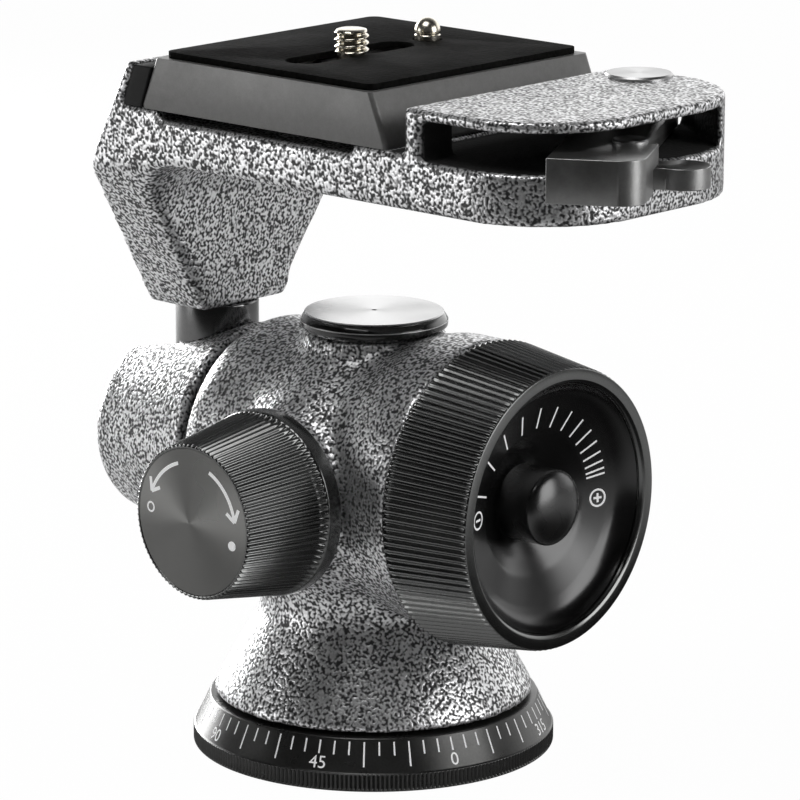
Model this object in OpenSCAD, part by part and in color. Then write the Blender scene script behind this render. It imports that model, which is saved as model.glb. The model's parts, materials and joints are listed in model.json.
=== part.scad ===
// Offset ball head for a tripod: a turning housing on a scaled base carries a tilting cap at one side.
// A ball and stem in that cap hold a cranked arm, which brings a quick-release plate back over the pan axis.
// Millimetres, Z up, origin at the middle of the base's underside, on the pan axis.
// X runs along the tilt axis, from the ball cap (-X) to the tilt-lock knob (+X). The pan-lock knob faces -Y.

/* [Fits] */
// Radial clearance of a running fit
run_fit = 0.05; // [0.02:0.01:0.09]
// Radial clearance of a piece fixed in its hole
seat_fit = 0.02; // [0.01:0.01:0.05]
// Gap between faces that turn or slide past each other
face_gap = 0.3; // [0.15:0.05:0.5]

/* [Base] */
// Diameter of the scale ring at its knurled rim
ring_d = 68; // [66:0.5:76]
// Height of the knurled rim
rim_h = 3.4; // [2.5:0.1:4.5]
// Height of the scale ring
ring_h = 9.3; // [8.8:0.1:11]
// Diameter of the scale ring at its top edge
ring_top_d = 61.4; // [59:0.2:64]
// Inner diameter of the scale ring's web
ring_bore_d = 44.6; // [43.4:0.2:46]
// Diameter of the base plate in the underside
base_plate_d = 56; // [54:0.5:58]
// Thickness of the base plate
base_plate_h = 4; // [3.6:0.1:4.4]
// Nominal diameter of the tripod thread, 3/8 inch
socket_d = 9.525; // [6.35:0.025:10]
// Depth of the tripod thread
socket_depth = 9; // [7:0.5:10]
// Outer diameter of the tripod thread's bush
socket_bush_d = 13; // [12:0.5:14]
// Thread size of the base screws
base_screw_d = 3; // [2:0.5:3.5]
// Number of base screws
base_screw_n = 3; // [3:1:6]

/* [Pan bearing] */
// Diameter of the spindle's bearing journal
spindle_d = 17; // [16:0.5:17.5]
// Diameter of the spindle's brake flange
flange_d = 40; // [39:0.5:41]
// Thickness of the brake flange
flange_h = 3; // [2.5:0.1:3.2]
// Height of the top of the journal
journal_top = 31; // [29:0.5:32]
// Thread diameter of the spindle's end
spindle_thread_d = 12; // [10:0.5:13]
// Outer diameter of the bearing bush
pan_bush_d = 23; // [21:0.5:25]
// Thickness of the slip washer on the flange
slip_washer_h = 0.8; // [0.5:0.1:1.2]
// Thickness of the spring washer under the nut
spring_washer_h = 1.4; // [1:0.1:1.6]
// Height of the spindle nut
spindle_nut_h = 3.6; // [3:0.1:4]
// Diameter of the spindle nut and its spring washer
spindle_nut_d = 19.2; // [18.4:0.2:20]

/* [Housing] */
// Height of the tilt axis
axis_z = 52.6; // [52:0.1:56]
// Diameter of the skirt over the scale ring
skirt_d = 59.8; // [57:0.2:60.6]
// Gap between the scale ring and the skirt
skirt_gap = 0.6; // [0.4:0.1:1]
// Height at which the skirt's cone meets the neck
neck_z = 27; // [25:0.5:29]
// Diameter of the neck
neck_d = 41.6; // [41:0.2:44]
// Diameter of the barrel at its middle
barrel_d = 50.6; // [49:0.2:51]
// Reach of the barrel towards the ball cap
barrel_left = 27.8; // [27:0.1:29]
// Diameter of the barrel at the ball cap
barrel_left_d = 45.6; // [44.6:0.2:47]
// Reach of the barrel towards the tilt-lock knob
barrel_right = 27; // [25:0.2:28]
// Diameter of the barrel at the tilt-lock knob
barrel_right_d = 53; // [50:0.5:55]
// Diameter of the shoulder over the tilt lock
shoulder_d = 52; // [50:0.2:52.4]
// Rise of the shoulder's axis over the tilt axis
shoulder_rise = 1.9; // [1:0.1:2.2]
// Set-back of the shoulder's axis from the pan-lock knob
shoulder_back = 0.8; // [0.4:0.1:1.5]
// Radius of the fillet round the boss on top
boss_fillet = 5; // [3:0.5:6]
// Diameter of the boss on top
boss_d = 26.4; // [25:0.2:28]
// Height of the top of the boss
boss_z = 78.9; // [78:0.1:80]
// Radial room for the nut in the access hole under the top disc
access_room = 0.3; // [0.2:0.1:0.6]
// Diameter of the top disc
disc_d = 27.4; // [26:0.2:29]
// Thickness of the top disc
disc_h = 3.5; // [2.5:0.1:4]
// Depth of the top disc's plug
disc_plug = 5; // [3:0.5:6]

/* [Pan lock] */
// Height of the pan-lock axis
pan_z = 51.2; // [50.4:0.1:52]
// Reach of the pan-lock boss from the pan axis
pan_boss_y = 26.2; // [25.6:0.2:27.5]
// Diameter of the pan-lock boss
pan_boss_d = 31; // [29:0.5:33]
// Reach of the pan-lock knob's face
pan_face_y = 47.9; // [46:0.2:50]
// Diameter of the knob at its face
pan_face_d = 28.7; // [27:0.2:30]
// Diameter of the knob at the back of its grip
pan_back_d = 34; // [32:0.2:36]
// Width of the plain flange behind the grip
pan_flange_w = 3.6; // [2.5:0.1:5]
// Rise of the face's shallow cone
pan_face_rise = 0.7; // [0.3:0.1:1]
// Width of the knob's rim round its metal face
pan_face_rim = 0.9; // [0.6:0.1:1.5]
// Thickness of the knob's metal face at its edge
pan_face_t = 1.2; // [0.8:0.1:2]
// Diameter of the pan-lock screw
pan_screw_d = 8; // [7:0.5:9]
// Outer diameter of the pan-lock screw's bush
pan_screw_bush_d = 13; // [11:0.5:14]
// Length of the pan-lock screw's bush
pan_screw_bush_len = 5; // [4:0.5:6]
// Thread diameter of the screws that hold the knobs
knob_screw_d = 4; // [3:0.5:5]
// Length of the screws that hold the knobs
knob_screw_len = 9; // [7:0.5:11]
// Diameter of the brake pin
brake_pin_d = 5; // [4:0.2:5.4]
// Distance of the brake pin in from the brake flange's edge
brake_in = 3.8; // [3.6:0.1:4]

/* [Tilt lock] */
// Reach of the tilt-lock knob's rim
tilt_face_x = 45.9; // [44:0.2:48]
// Diameter of the knob at its rim
tilt_face_d = 51.8; // [49:0.2:54]
// Diameter of the knob at its back edge
tilt_back_d = 57; // [54:0.2:60]
// Inner diameter of the flat rim
tilt_rim_d = 47.2; // [45:0.2:48]
// Depth of the dished face at the lip of the bowl
tilt_dish = 6.4; // [5.4:0.2:7]
// Rise of the face's slope from the lip of the bowl to the wall
tilt_slope = 1.9; // [1:0.1:2.6]
// Depth of the bowl round the hub
tilt_bowl = 9.4; // [8:0.2:11]
// Diameter of the domed hub
tilt_hub_d = 14; // [13:0.2:15]
// Reach of the hub in the dish beyond the knob's face
tilt_hub_out = 0.2; // [-1:0.1:0.8]
// Height of the hub's domed end
tilt_dome = 2.6; // [2:0.1:4]
// Width of the bowl round the hub
tilt_bowl_w = 5.6; // [4.8:0.1:6]
// Diameter of the tilt-lock screw
tilt_screw_d = 10; // [8:0.5:11]
// Outer diameter of the tilt-lock screw's bush
tilt_bush_d = 18; // [15:0.5:19]
// Length of the tilt-lock screw's bush
tilt_bush_len = 16; // [12:0.5:17]
// Diameter of the piston
piston_d = 20; // [19:0.5:21]
// Length of the piston behind the ball
piston_len = 17; // [15:0.5:18]
// Height of the pair of disc springs
spring_h = 3; // [2.9:0.1:3.6]
// Thickness of the disc between springs and screw
thrust_h = 1.5; // [1:0.1:2.5]

/* [Ball and cap] */
// Distance of the stem from the pan axis
stem_x = 40.8; // [40:0.1:42]
// Diameter of the ball
ball_d = 28; // [27:0.2:28.6]
// Diameter of the polished stem
stem_d = 15.9; // [15:0.1:17]
// Diameter of the stem's stud in the arm
stud_d = 8; // [7:0.5:9]
// Length of the stem's stud in the arm
stud_len = 12; // [10:0.5:14]
// Diameter of the stem's shank in the ball
shank_d = 10; // [8:0.5:11]
// Width of the gap between barrel and cap
cap_gap = 1.5; // [1:0.1:2]
// Diameter of the cap at the gap
cap_d = 45.4; // [44.6:0.2:46]
// Diameter of the cap where its end begins to round
cap_tip_d = 36.4; // [35.6:0.2:39]
// Distance from the pan axis to the start of that rounding
cap_tip_x = 53; // [51:0.2:54]
// Distance from the pan axis to the end of the cap
cap_end_x = 60.8; // [60:0.2:62]
// Fullness of the cap's rounded end, where 2 is an ellipse
cap_full = 2.4; // [2:0.1:3]
// Thickness of the ball's liner
liner_t = 1.8; // [1.4:0.1:2.2]
// Outer diameter of the cap's spigot in the barrel
spigot_d = 38; // [37:0.2:39]
// Length of the cap's spigot in the barrel
spigot_len = 9; // [8:0.2:10]
// Width of the ring that keeps the cap on the barrel
keeper_w = 1.4; // [1:0.1:2]
// Depth of that ring in the spigot and in the barrel
keeper_depth = 1.2; // [0.8:0.1:1.4]

/* [Arm] */
// Height of the arm's foot on the stem
foot_z = 78.7; // [78.3:0.1:80]
// Width of the foot along X
foot_w = 14.8; // [14:0.2:16]
// Width of the foot along Y
foot_l = 21.6; // [19:0.2:23]
// Width of the arm across the plate
arm_w = 59; // [57:0.5:62]
// Height at which the flare reaches the full width
flare_z = 107.6; // [106:0.2:109]
// Height of the bend in the back of the arm
bend_z = 110; // [108:0.2:112]
// Lean of the arm's back, from the foot up to the bend
back_lean = 4; // [2:0.1:5]
// Height of the platform's underside
platform_z = 110.2; // [109.6:0.1:111]
// Thickness of the platform
platform_t = 10; // [9:0.1:11]
// Radius of the fillet under the platform
fillet_r = 9; // [6:0.5:10]
// Lean of the spine towards the platform, over its straight height
spine_lean = 1.6; // [0:0.1:2.5]
// Depth of the relief under the plate
relief_d = 1.7; // [1:0.1:2.2]
// Width of the relief under the plate
relief_w = 49; // [40:0.5:50]
// Width of the plate's seat beside the fixed jaw
relief_in = 3.9; // [3:0.1:5]
// Height of the jaw and the clamp over the platform
clamp_h = 8.2; // [7.6:0.1:8.8]
// Width of the lining between the fixed jaw and the plate
liner_w = 5; // [4:0.1:5.4]
// Thickness of the fixed jaw at its top
jaw_t = 1.8; // [1.4:0.1:2.5]
// Distance from the pan axis to the clamp's outer end
clamp_end = 68.6; // [67.6:0.2:69]
// Distance from the pan axis to the clamp's inner face
clamp_face = 34.2; // [33.6:0.1:35]
// Corner radius of the clamp's end
clamp_r = 20; // [16:0.5:23]
// Thickness of the clamp's roof over the lever
roof_t = 2; // [1.8:0.1:2.6]
// Height of the lever's slot
slot_h = 7.1; // [6.8:0.1:7.4]
// Width of the post at the front of the slot
post_w = 3.8; // [3.2:0.1:5]

/* [Lever] */
// Distance of the lever's pivot from the pan axis along X
pivot_x = 43.4; // [42.6:0.1:44.4]
// Distance of the lever's pivot in from the side of the arm
pivot_in = 6.4; // [6.1:0.1:6.9]
// Diameter of the pivot pin
pivot_d = 8; // [6:0.5:8.5]
// Diameter of the pivot pin's head
pivot_head_d = 12.4; // [11:0.2:12.6]
// Height of the pivot pin's head
pivot_head_h = 0.7; // [0.4:0.1:1.2]
// Width of the lever
lever_w = 14.4; // [13:0.2:15]
// Reach of the handle across the lever, on the catch's side
handle_out = 9.5; // [8:0.1:9.6]
// Place along the lever where the handle widens
handle_from = 37; // [36:0.2:40]
// Radius of the handle's outer corner
handle_r = 4.5; // [1:0.5:5]
// Reach of the lever from its pivot
lever_len = 54.4; // [53:0.2:56]
// Thickness of the lever in its slot
lever_t = 3.6; // [3.4:0.1:4.4]
// Drop of the handle's lip below the slot
lip_drop = 4; // [2:0.1:5]
// Angle of the lever at rest, measured from +X
lever_angle = -59.3; // [-61:0.1:-58]
// Angle through which the lever opens
lever_open = 27; // [20:0.5:27.5]
// Radius of the cam nose's round end
cam_r = 4; // [3:0.1:4.6]
// Place of the catch's pin along the lever
catch_along = 36.2; // [35.6:0.1:37]
// Place of the catch's pin across the lever
catch_across = 4.4; // [3.8:0.1:4.4]
// Place of the catch's tab along the lever
tab_along = 34.9; // [34:0.1:36]
// Place of the catch's tab across the lever
tab_across = 13.6; // [13:0.1:15]
// Diameter of the catch's pin
catch_pin_d = 4; // [3:0.2:4.4]
// Diameter of the catch's pin head
catch_head_d = 6.4; // [5:0.2:7]
// Thickness of the safety catch
catch_t = 3.8; // [3:0.1:4.2]
// Radius of the catch's finger tab
tab_r = 4.7; // [4:0.1:5]

/* [Plate] */
// Offset of the plate's middle from the pan axis
plate_x = -0.6; // [-1:0.1:0]
// Width of the plate at its foot
plate_w = 60.8; // [60:0.2:61.2]
// Width of the plate at its top
plate_top_w = 53.6; // [52:0.2:55]
// Inset of the plate's ends from the sides of the arm
plate_inset = 0.3; // [0:0.1:1.5]
// Height of the plate
plate_h = 9.7; // [9:0.1:10.5]
// Radius of the plate's corners
plate_r = 1; // [0.5:0.5:2.5]
// Inset of the pad from the plate's edge
pad_inset = 1.2; // [0.6:0.1:2]
// Thickness of the pad
pad_t = 1.2; // [0.8:0.1:2]
// Thread diameter of the camera screw, 1/4 inch
camera_d = 6.35; // [6:0.05:9.525]
// Depth of the recess for the camera screw's head
head_recess = 5.4; // [4.8:0.1:6]
// Diameter of the camera screw's head
head_d = 11; // [10:0.2:11.4]
// Thickness of the camera screw's clip
clip_h = 0.8; // [0.6:0.1:1]
// Diameter of the camera screw's waist in the plate
waist_d = 5.2; // [4.6:0.1:5.6]
// Height of the camera screw over the pad
camera_h = 4.4; // [3.5:0.1:6]
// Place of the camera screw along the plate
camera_y = -5.5; // [-8:0.5:-4]
// Near end of the screw's slot
slot_near = -17.5; // [-18.5:0.5:-12]
// Far end of the screw's slot
slot_far = 6; // [4:0.5:6]
// Diameter of the video pin
video_d = 4.8; // [4:0.1:5.2]
// Place of the video pin along the plate
video_y = 15; // [14:0.5:17]
// Height of the video pin over the pad
video_h = 4; // [2.5:0.1:5]
// Travel of the video pin
video_travel = 3.6; // [2:0.1:3.8]

/* [Hidden] */
$fn = 96;
eps = 0.01;

// Heights in the base
flange_top = base_plate_h + flange_h;
brake_pin_y = flange_d / 2 - brake_in;
washer_top = flange_top + slip_washer_h;
hub_z = washer_top + face_gap / 3;
skirt_z = ring_h + skirt_gap;
nut_seat_z = journal_top + face_gap / 3;
nut_z = nut_seat_z + spring_washer_h;
spindle_top = nut_z + spindle_nut_h + 1;
slip_washer_d = 2 * (brake_pin_y - brake_pin_d / 2 - 0.5);
access_d = spindle_nut_d + 2 * access_room;

// Pan lock: the brake pin's round end lies under the 45 degree cone of the pan-lock screw
cone_tip_r = pan_screw_d / 8;
cone_tip_y = brake_pin_y + pan_screw_d / 8;
brake_round_z = pan_z - cone_tip_r + (cone_tip_y - brake_pin_y) - (brake_pin_d / 2 + face_gap) * sqrt(2);

// Tilt lock stations along X
cap_face_x = -barrel_left - cap_gap;
spigot_end_x = -barrel_left + spigot_len;
piston_back_x = -stem_x + ball_d / 2 + piston_len;
screw_end_x = piston_back_x + spring_h + thrust_h + face_gap;
knob_back_x = barrel_right + 2 * face_gap;

// Arm: slopes and stations
foot_left_x = -stem_x - foot_w / 2;
foot_right_x = -stem_x + foot_w / 2;
seat_z = platform_z + platform_t;
clamp_top = seat_z + clamp_h;
plate_slope = (plate_w - plate_top_w) / 2 / plate_h;
jaw_in_x = plate_x - plate_w / 2 - liner_w;
jaw_in_top_x = jaw_in_x + clamp_h * plate_slope;
jaw_out_top_x = jaw_in_top_x - jaw_t;
slot_top = clamp_top - roof_t;
slot_z = slot_top - slot_h;
post_x = clamp_face + post_w;
corner_c = [clamp_end - clamp_r, arm_w / 2 - clamp_r];

// Lever: local frame with its length along +X from the pivot
lever_z = slot_z + face_gap;
lever_top = lever_z + lever_t;
lip_z = slot_z - lip_drop;
nose_angle = 198;
pivot_y = arm_w / 2 - pivot_in;
nose_reach = (plate_x + plate_w / 2 + face_gap + cam_r - pivot_x) / cos(nose_angle);
catch_pivot = pivot_at([catch_along, catch_across]);
tab_at = pivot_at([tab_along, tab_across]);
catch_z = lever_z - face_gap - catch_t;
open_angle = lever_angle + lever_open;
stop_off = lever_w / 2 + 1.5 * face_gap;
stop_back = [pivot_x - stop_off * sin(open_angle), pivot_y + stop_off * cos(open_angle)];
stop_front = [clamp_end, stop_back[1] + (clamp_end - stop_back[0]) * tan(open_angle)];

// Plate heights
plate_l = arm_w - 2 * plate_inset;
plate_top = seat_z + plate_h;
pad_top = plate_top + pad_t;
screw_slot_w = camera_d + 0.7;
clip_d = screw_slot_w + 4;
clip_recess = clip_h + 2 * face_gap;
pad_w = plate_top_w - 2 * pad_inset;
pad_l = plate_l - 2 * pad_inset;

black = [0.06, 0.06, 0.065];
hammertone = [0.55, 0.55, 0.56];
steel = [0.72, 0.72, 0.70];
brass = [0.78, 0.62, 0.30];
polymer = [0.85, 0.85, 0.82];
satin_grey = [0.36, 0.36, 0.37];

// A point of the lever's own frame, carried to its place on the clamp
function pivot_at(p) = [
    pivot_x + p[0] * cos(lever_angle) - p[1] * sin(lever_angle),
    pivot_y + p[0] * sin(lever_angle) + p[1] * cos(lever_angle)
];
// Points of an arc of radius r about c, from angle a to angle b
function arc(c, r, a, b, n = 10) =
    [for (i = [0:n]) c + r * [cos(a + (b - a) * i / n), sin(a + (b - a) * i / n)]];

// Turned shapes: the profile's points are [radius, station along the axis]
module turned_z(profile) {
    rotate_extrude() polygon(profile);
}
module turned_x(profile) {
    translate([0, 0, axis_z]) rotate([0, 90, 0]) rotate_extrude() polygon(profile);
}
module turned_y(profile) {
    translate([0, 0, pan_z]) rotate([-90, 0, 0]) rotate_extrude() polygon(profile);
}
// Round bars and holes along each axis, between two stations
module bar_z(d, a, b) {
    translate([0, 0, a]) cylinder(d = d, h = b - a);
}
module bar_x(d, a, b) {
    translate([a, 0, axis_z]) rotate([0, 90, 0]) cylinder(d = d, h = b - a);
}
module bar_y(d, a, b) {
    translate([0, a, pan_z]) rotate([-90, 0, 0]) cylinder(d = d, h = b - a);
}
module tube_z(d_out, d_in, a, b) {
    difference() {
        bar_z(d_out, a, b);
        bar_z(d_in, a - 1, b + 1);
    }
}
// An outline seen from the front, carried across the width w
module across_y(w) {
    translate([0, w / 2, 0]) rotate([90, 0, 0]) linear_extrude(w) children();
}
// An outline seen from the side, carried from station a to b
module along_x(a, b) {
    translate([a, 0, 0]) rotate([90, 0, 90]) linear_extrude(b - a) children();
}
module plan(a, b) {
    translate([0, 0, a]) linear_extrude(b - a) children();
}
module rounded_plan(w, l, r) {
    square([w - 2 * r, l], center = true);
    square([w, l - 2 * r], center = true);
    for (sx = [-1, 1], sy = [-1, 1]) translate([sx * (w / 2 - r), sy * (l / 2 - r)]) circle(r);
}
module on_ring(n, r) {
    for (i = [0:n - 1]) rotate(90 + 360 * i / n) translate([r, 0, 0]) children();
}

// Base
base_screw_r = (base_plate_d / 2 + ring_bore_d / 2) / 2;
base_screw_top = ring_h - 1.2;
module base_screw_holes() {
    on_ring(base_screw_n, base_screw_r) {
        bar_z(base_screw_d + 2 * seat_fit, -1, base_screw_top + eps);
        translate([0, 0, -1]) cylinder(d = 2 * base_screw_d + 2 * seat_fit, h = 1 + base_screw_d / 2);
    }
}
module scale_ring() {
    color(black) difference() {
        turned_z([
            [base_plate_d / 2 + seat_fit, 0], [ring_d / 2 - 0.4, 0], [ring_d / 2, 0.4], [ring_d / 2, rim_h],
            [ring_top_d / 2, ring_h], [ring_bore_d / 2, ring_h], [ring_bore_d / 2, base_plate_h],
            [base_plate_d / 2 + seat_fit, base_plate_h]
        ]);
        base_screw_holes();
    }
}
module base_plate() {
    color(steel) difference() {
        bar_z(base_plate_d, 0, base_plate_h);
        bar_z(socket_bush_d + 2 * seat_fit, -1, base_plate_h + 1);
        base_screw_holes();
    }
}
module tripod_bush() {
    color(brass) tube_z(socket_bush_d, socket_d, 0, socket_depth);
}
module base_screws() {
    color(steel) on_ring(base_screw_n, base_screw_r) {
        bar_z(base_screw_d, 0, base_screw_top);
        bar_z(2 * base_screw_d, 0, base_screw_d / 2);
    }
}
module pan_spindle() {
    color(steel) difference() {
        turned_z([
            [0, base_plate_h], [flange_d / 2, base_plate_h], [flange_d / 2, flange_top],
            [spindle_d / 2, flange_top], [spindle_d / 2, journal_top], [spindle_thread_d / 2, journal_top],
            [spindle_thread_d / 2, spindle_top], [0, spindle_top]
        ]);
        bar_z(socket_bush_d + 2 * seat_fit, 0, socket_depth + 0.5);
    }
}
module slip_washer() {
    color(polymer) tube_z(slip_washer_d, spindle_d + 2 * seat_fit, flange_top, washer_top);
}
module spring_washer() {
    color(steel) tube_z(spindle_nut_d, spindle_thread_d + 2 * seat_fit, nut_seat_z, nut_z);
}
module spindle_nut() {
    color(steel) difference() {
        tube_z(spindle_nut_d, spindle_thread_d + 2 * seat_fit, nut_z, nut_z + spindle_nut_h);
        for (a = [0, 90]) rotate(a) translate([-spindle_nut_d, -1, nut_z + spindle_nut_h - 1.2])
            cube([2 * spindle_nut_d, 2, 2]);
    }
}

// Housing
module housing() {
    color(hammertone) difference() {
        union() {
            turned_z([
                [0, hub_z], [ring_bore_d / 2 - face_gap, hub_z], [ring_bore_d / 2 - face_gap, skirt_z],
                [skirt_d / 2, skirt_z], [skirt_d / 2, skirt_z + 0.8],
                [neck_d / 2 + 0.7, neck_z - 1.2], [neck_d / 2 + 0.2, neck_z + 1], [neck_d / 2, neck_z + 4],
                [neck_d / 2, axis_z], [0, axis_z]
            ]);
            turned_x([
                [0, -barrel_left], [barrel_left_d / 2 - 0.5, -barrel_left],
                [barrel_left_d / 2, -barrel_left + 0.5], [barrel_d / 2 - 1, -barrel_left + 2],
                [barrel_d / 2 - 0.2, -barrel_left + 4.5], [barrel_d / 2, -barrel_left + 8],
                [barrel_d / 2, barrel_right - 10],
                [barrel_right_d / 2 - 0.4, barrel_right - 3], [barrel_right_d / 2, barrel_right],
                [0, barrel_right]
            ]);
            translate([0, shoulder_back, shoulder_rise]) turned_x([
                [0, 0], [barrel_d / 2 - 2 * shoulder_rise, 0], [shoulder_d / 2 - 0.8, barrel_right - 13],
                [shoulder_d / 2, barrel_right - 9], [shoulder_d / 2, barrel_right], [0, barrel_right]
            ]);
            turned_z(concat(
                [[0, axis_z], [boss_d / 2 + boss_fillet, axis_z]],
                arc([boss_d / 2 + boss_fillet, boss_z - 1], boss_fillet, 270, 180, 8),
                [[boss_d / 2, boss_z], [0, boss_z]]
            ));
            turned_y(concat(
                [[0, 0], [pan_boss_d / 2 + 4, 0]],
                arc([pan_boss_d / 2 + 4, -pan_boss_y + 1], 4, 90, 180, 6),
                [[pan_boss_d / 2, -pan_boss_y], [0, -pan_boss_y]]
            ));
        }
        bar_z(pan_bush_d + 2 * seat_fit, hub_z - 1, journal_top);
        bar_z(access_d, journal_top - 1, boss_z + 1);
        bar_z(disc_d + 2 * face_gap, boss_z, boss_z + disc_h);
        bar_x(spigot_d + 2 * run_fit, -barrel_left - 1, spigot_end_x + face_gap);
        keeper(spigot_d + 2 * (keeper_depth + face_gap), face_gap);
        bar_x(piston_d + 2 * run_fit, -barrel_left, barrel_right - tilt_bush_len);
        bar_x(tilt_bush_d + 2 * seat_fit, 0, barrel_right + 1);
        bar_y(pan_screw_bush_d + 2 * seat_fit, -pan_boss_y - 1, -pan_boss_y + pan_screw_bush_len);
        bar_y(pan_screw_d + 2 * face_gap, -pan_boss_y, -brake_pin_y + 1);
        translate([0, -brake_pin_y, 0]) bar_z(brake_pin_d + 2 * run_fit, hub_z - 1, pan_z);
    }
}
module pan_bush() {
    color(brass) tube_z(pan_bush_d, spindle_d + 2 * run_fit, hub_z, journal_top);
}
module top_disc() {
    color(steel) turned_z([
        [0, boss_z - disc_plug], [access_d / 2 - seat_fit, boss_z - disc_plug],
        [access_d / 2 - seat_fit, boss_z],
        [disc_d / 2 - 1, boss_z], [disc_d / 2, boss_z + 0.9], [disc_d / 2, boss_z + 1.9],
        [disc_d / 2 - 1, boss_z + disc_h], [0, boss_z + disc_h]
    ]);
}

// Pan lock
pan_back_y = -pan_boss_y - face_gap;
pan_grip_back = pan_back_y - pan_flange_w;
pan_face_r = pan_face_d / 2 - pan_face_rim;
pan_recess_y = -pan_face_y + pan_face_t;
knob_head_h = 0.65 * knob_screw_d;
knob_web = 3;
pan_web_y = pan_recess_y + knob_head_h;
module pan_screw_bush() {
    color(brass) difference() {
        bar_y(pan_screw_bush_d, -pan_boss_y, -pan_boss_y + pan_screw_bush_len);
        bar_y(pan_screw_d + 2 * run_fit, -pan_boss_y - 1, 0);
    }
}
module brake_pin() {
    color(steel) translate([0, -brake_pin_y, 0]) {
        bar_z(brake_pin_d, flange_top + face_gap, brake_round_z);
        translate([0, 0, brake_round_z]) sphere(d = brake_pin_d);
    }
}
module pan_knob() {
    color(black) difference() {
        turned_y([
            [0, -pan_face_y], [pan_face_d / 2 - 0.4, -pan_face_y],
            [pan_face_d / 2, -pan_face_y + 0.4], [pan_back_d / 2, pan_grip_back],
            [pan_back_d / 2 + 0.2, pan_grip_back + 0.4], [pan_back_d / 2 + 0.2, pan_back_y - 0.6],
            [pan_back_d / 2 - 0.4, pan_back_y], [0, pan_back_y]
        ]);
        bar_y(2 * pan_face_r + 2 * seat_fit, -pan_face_y - 1, pan_recess_y);
        bar_y(2 * knob_screw_d + 2 * seat_fit, -pan_face_y, pan_web_y);
        bar_y(knob_screw_d + 2 * seat_fit, -pan_face_y, 0);
        bar_y(pan_screw_d + 2 * seat_fit, pan_web_y + knob_web, 0);
    }
}
module pan_face() {
    color(steel) turned_y([
        [0, -pan_face_y - pan_face_rise], [pan_face_r, -pan_face_y],
        [pan_face_r, pan_recess_y], [0, pan_recess_y]
    ]);
}
module pan_screw() {
    shoulder_y = -cone_tip_y - (pan_screw_d / 2 - cone_tip_r);
    color(steel) difference() {
        turned_y([
            [0, pan_web_y + knob_web], [pan_screw_d / 2, pan_web_y + knob_web],
            [pan_screw_d / 2, shoulder_y], [cone_tip_r, -cone_tip_y], [0, -cone_tip_y]
        ]);
        bar_y(knob_screw_d + 2 * seat_fit, -pan_face_y, pan_web_y + knob_screw_len);
    }
}
module pan_knob_screw() {
    color(steel) {
        bar_y(knob_screw_d, pan_recess_y, pan_web_y + knob_screw_len);
        bar_y(2 * knob_screw_d, pan_recess_y, pan_web_y);
    }
}

// Tilt lock
tilt_dish_x = tilt_face_x - tilt_dish;
tilt_bowl_x = tilt_face_x - tilt_bowl;
tilt_hub_x = tilt_face_x + tilt_hub_out;
tilt_wall_x = tilt_dish_x + tilt_slope;
tilt_seat_x = tilt_bowl_x - knob_web;
module tilt_bush() {
    color(brass) difference() {
        bar_x(tilt_bush_d, barrel_right - tilt_bush_len, barrel_right);
        bar_x(tilt_screw_d + 2 * run_fit, 0, barrel_right + 1);
    }
}
module tilt_knob() {
    lip_r = tilt_hub_d / 2 + tilt_bowl_w;
    color(black) difference() {
        turned_x(concat(
            [[0, knob_back_x], [tilt_back_d / 2 - 0.8, knob_back_x], [tilt_back_d / 2, knob_back_x + 0.8]],
            [[tilt_face_d / 2, tilt_face_x - 0.4], [tilt_face_d / 2 - 0.3, tilt_face_x]],
            [[tilt_rim_d / 2, tilt_face_x], [tilt_rim_d / 2 - 0.9, tilt_face_x - 1]],
            [[tilt_rim_d / 2 - 2.2, tilt_wall_x + 1.1], [tilt_rim_d / 2 - 4.6, tilt_wall_x]],
            [[lip_r + 1, tilt_dish_x + 0.2], [lip_r, tilt_dish_x - 0.2]],
            [[tilt_hub_d / 2 + 1.6, tilt_bowl_x + 1], [tilt_hub_d / 2, tilt_bowl_x], [0, tilt_bowl_x]]
        ));
        bar_x(tilt_screw_d + 2 * seat_fit, 0, tilt_seat_x);
        bar_x(knob_screw_d + 2 * seat_fit, 0, tilt_bowl_x + 1);
    }
}
module tilt_hub() {
    color(black) difference() {
        turned_x(concat(
            [[0, tilt_bowl_x], [tilt_hub_d / 2, tilt_bowl_x]],
            [for (a = [0:15:90]) [tilt_hub_d / 2 * cos(a), tilt_hub_x - tilt_dome * (1 - sin(a))]]
        ));
        bar_x(2 * knob_screw_d + 2 * face_gap, tilt_bowl_x - 1, tilt_bowl_x + knob_head_h + face_gap);
    }
}
module tilt_screw() {
    color(steel) difference() {
        turned_x([
            [0, screw_end_x], [tilt_screw_d / 2 - 1, screw_end_x], [tilt_screw_d / 2, screw_end_x + 1],
            [tilt_screw_d / 2, tilt_seat_x], [0, tilt_seat_x]
        ]);
        bar_x(knob_screw_d + 2 * seat_fit, tilt_bowl_x - knob_screw_len, tilt_bowl_x);
    }
}
module tilt_knob_screw() {
    color(steel) {
        bar_x(knob_screw_d, tilt_bowl_x - knob_screw_len, tilt_bowl_x + knob_head_h);
        bar_x(2 * knob_screw_d, tilt_bowl_x, tilt_bowl_x + knob_head_h);
    }
}
module piston() {
    color(brass) difference() {
        bar_x(piston_d, -stem_x, piston_back_x);
        translate([-stem_x, 0, axis_z]) sphere(d = ball_d + 2 * face_gap);
    }
}
module disc_spring(a, s) {
    leaf = 0.75;
    bore_r = tilt_screw_d / 2 - 1.6;
    rim_r = piston_d / 2 - 1;
    turned_x([
        [bore_r, a + s * (spring_h / 2 - 0.05 - leaf)], [rim_r, a],
        [rim_r, a + s * leaf], [bore_r, a + s * (spring_h / 2 - 0.05)]
    ]);
}
module disc_springs() {
    color(steel) {
        disc_spring(piston_back_x, 1);
        disc_spring(piston_back_x + spring_h, -1);
    }
}
module thrust_disc() {
    color(steel)
        bar_x(piston_d - 2 * face_gap, piston_back_x + spring_h, piston_back_x + spring_h + thrust_h);
}

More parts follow.
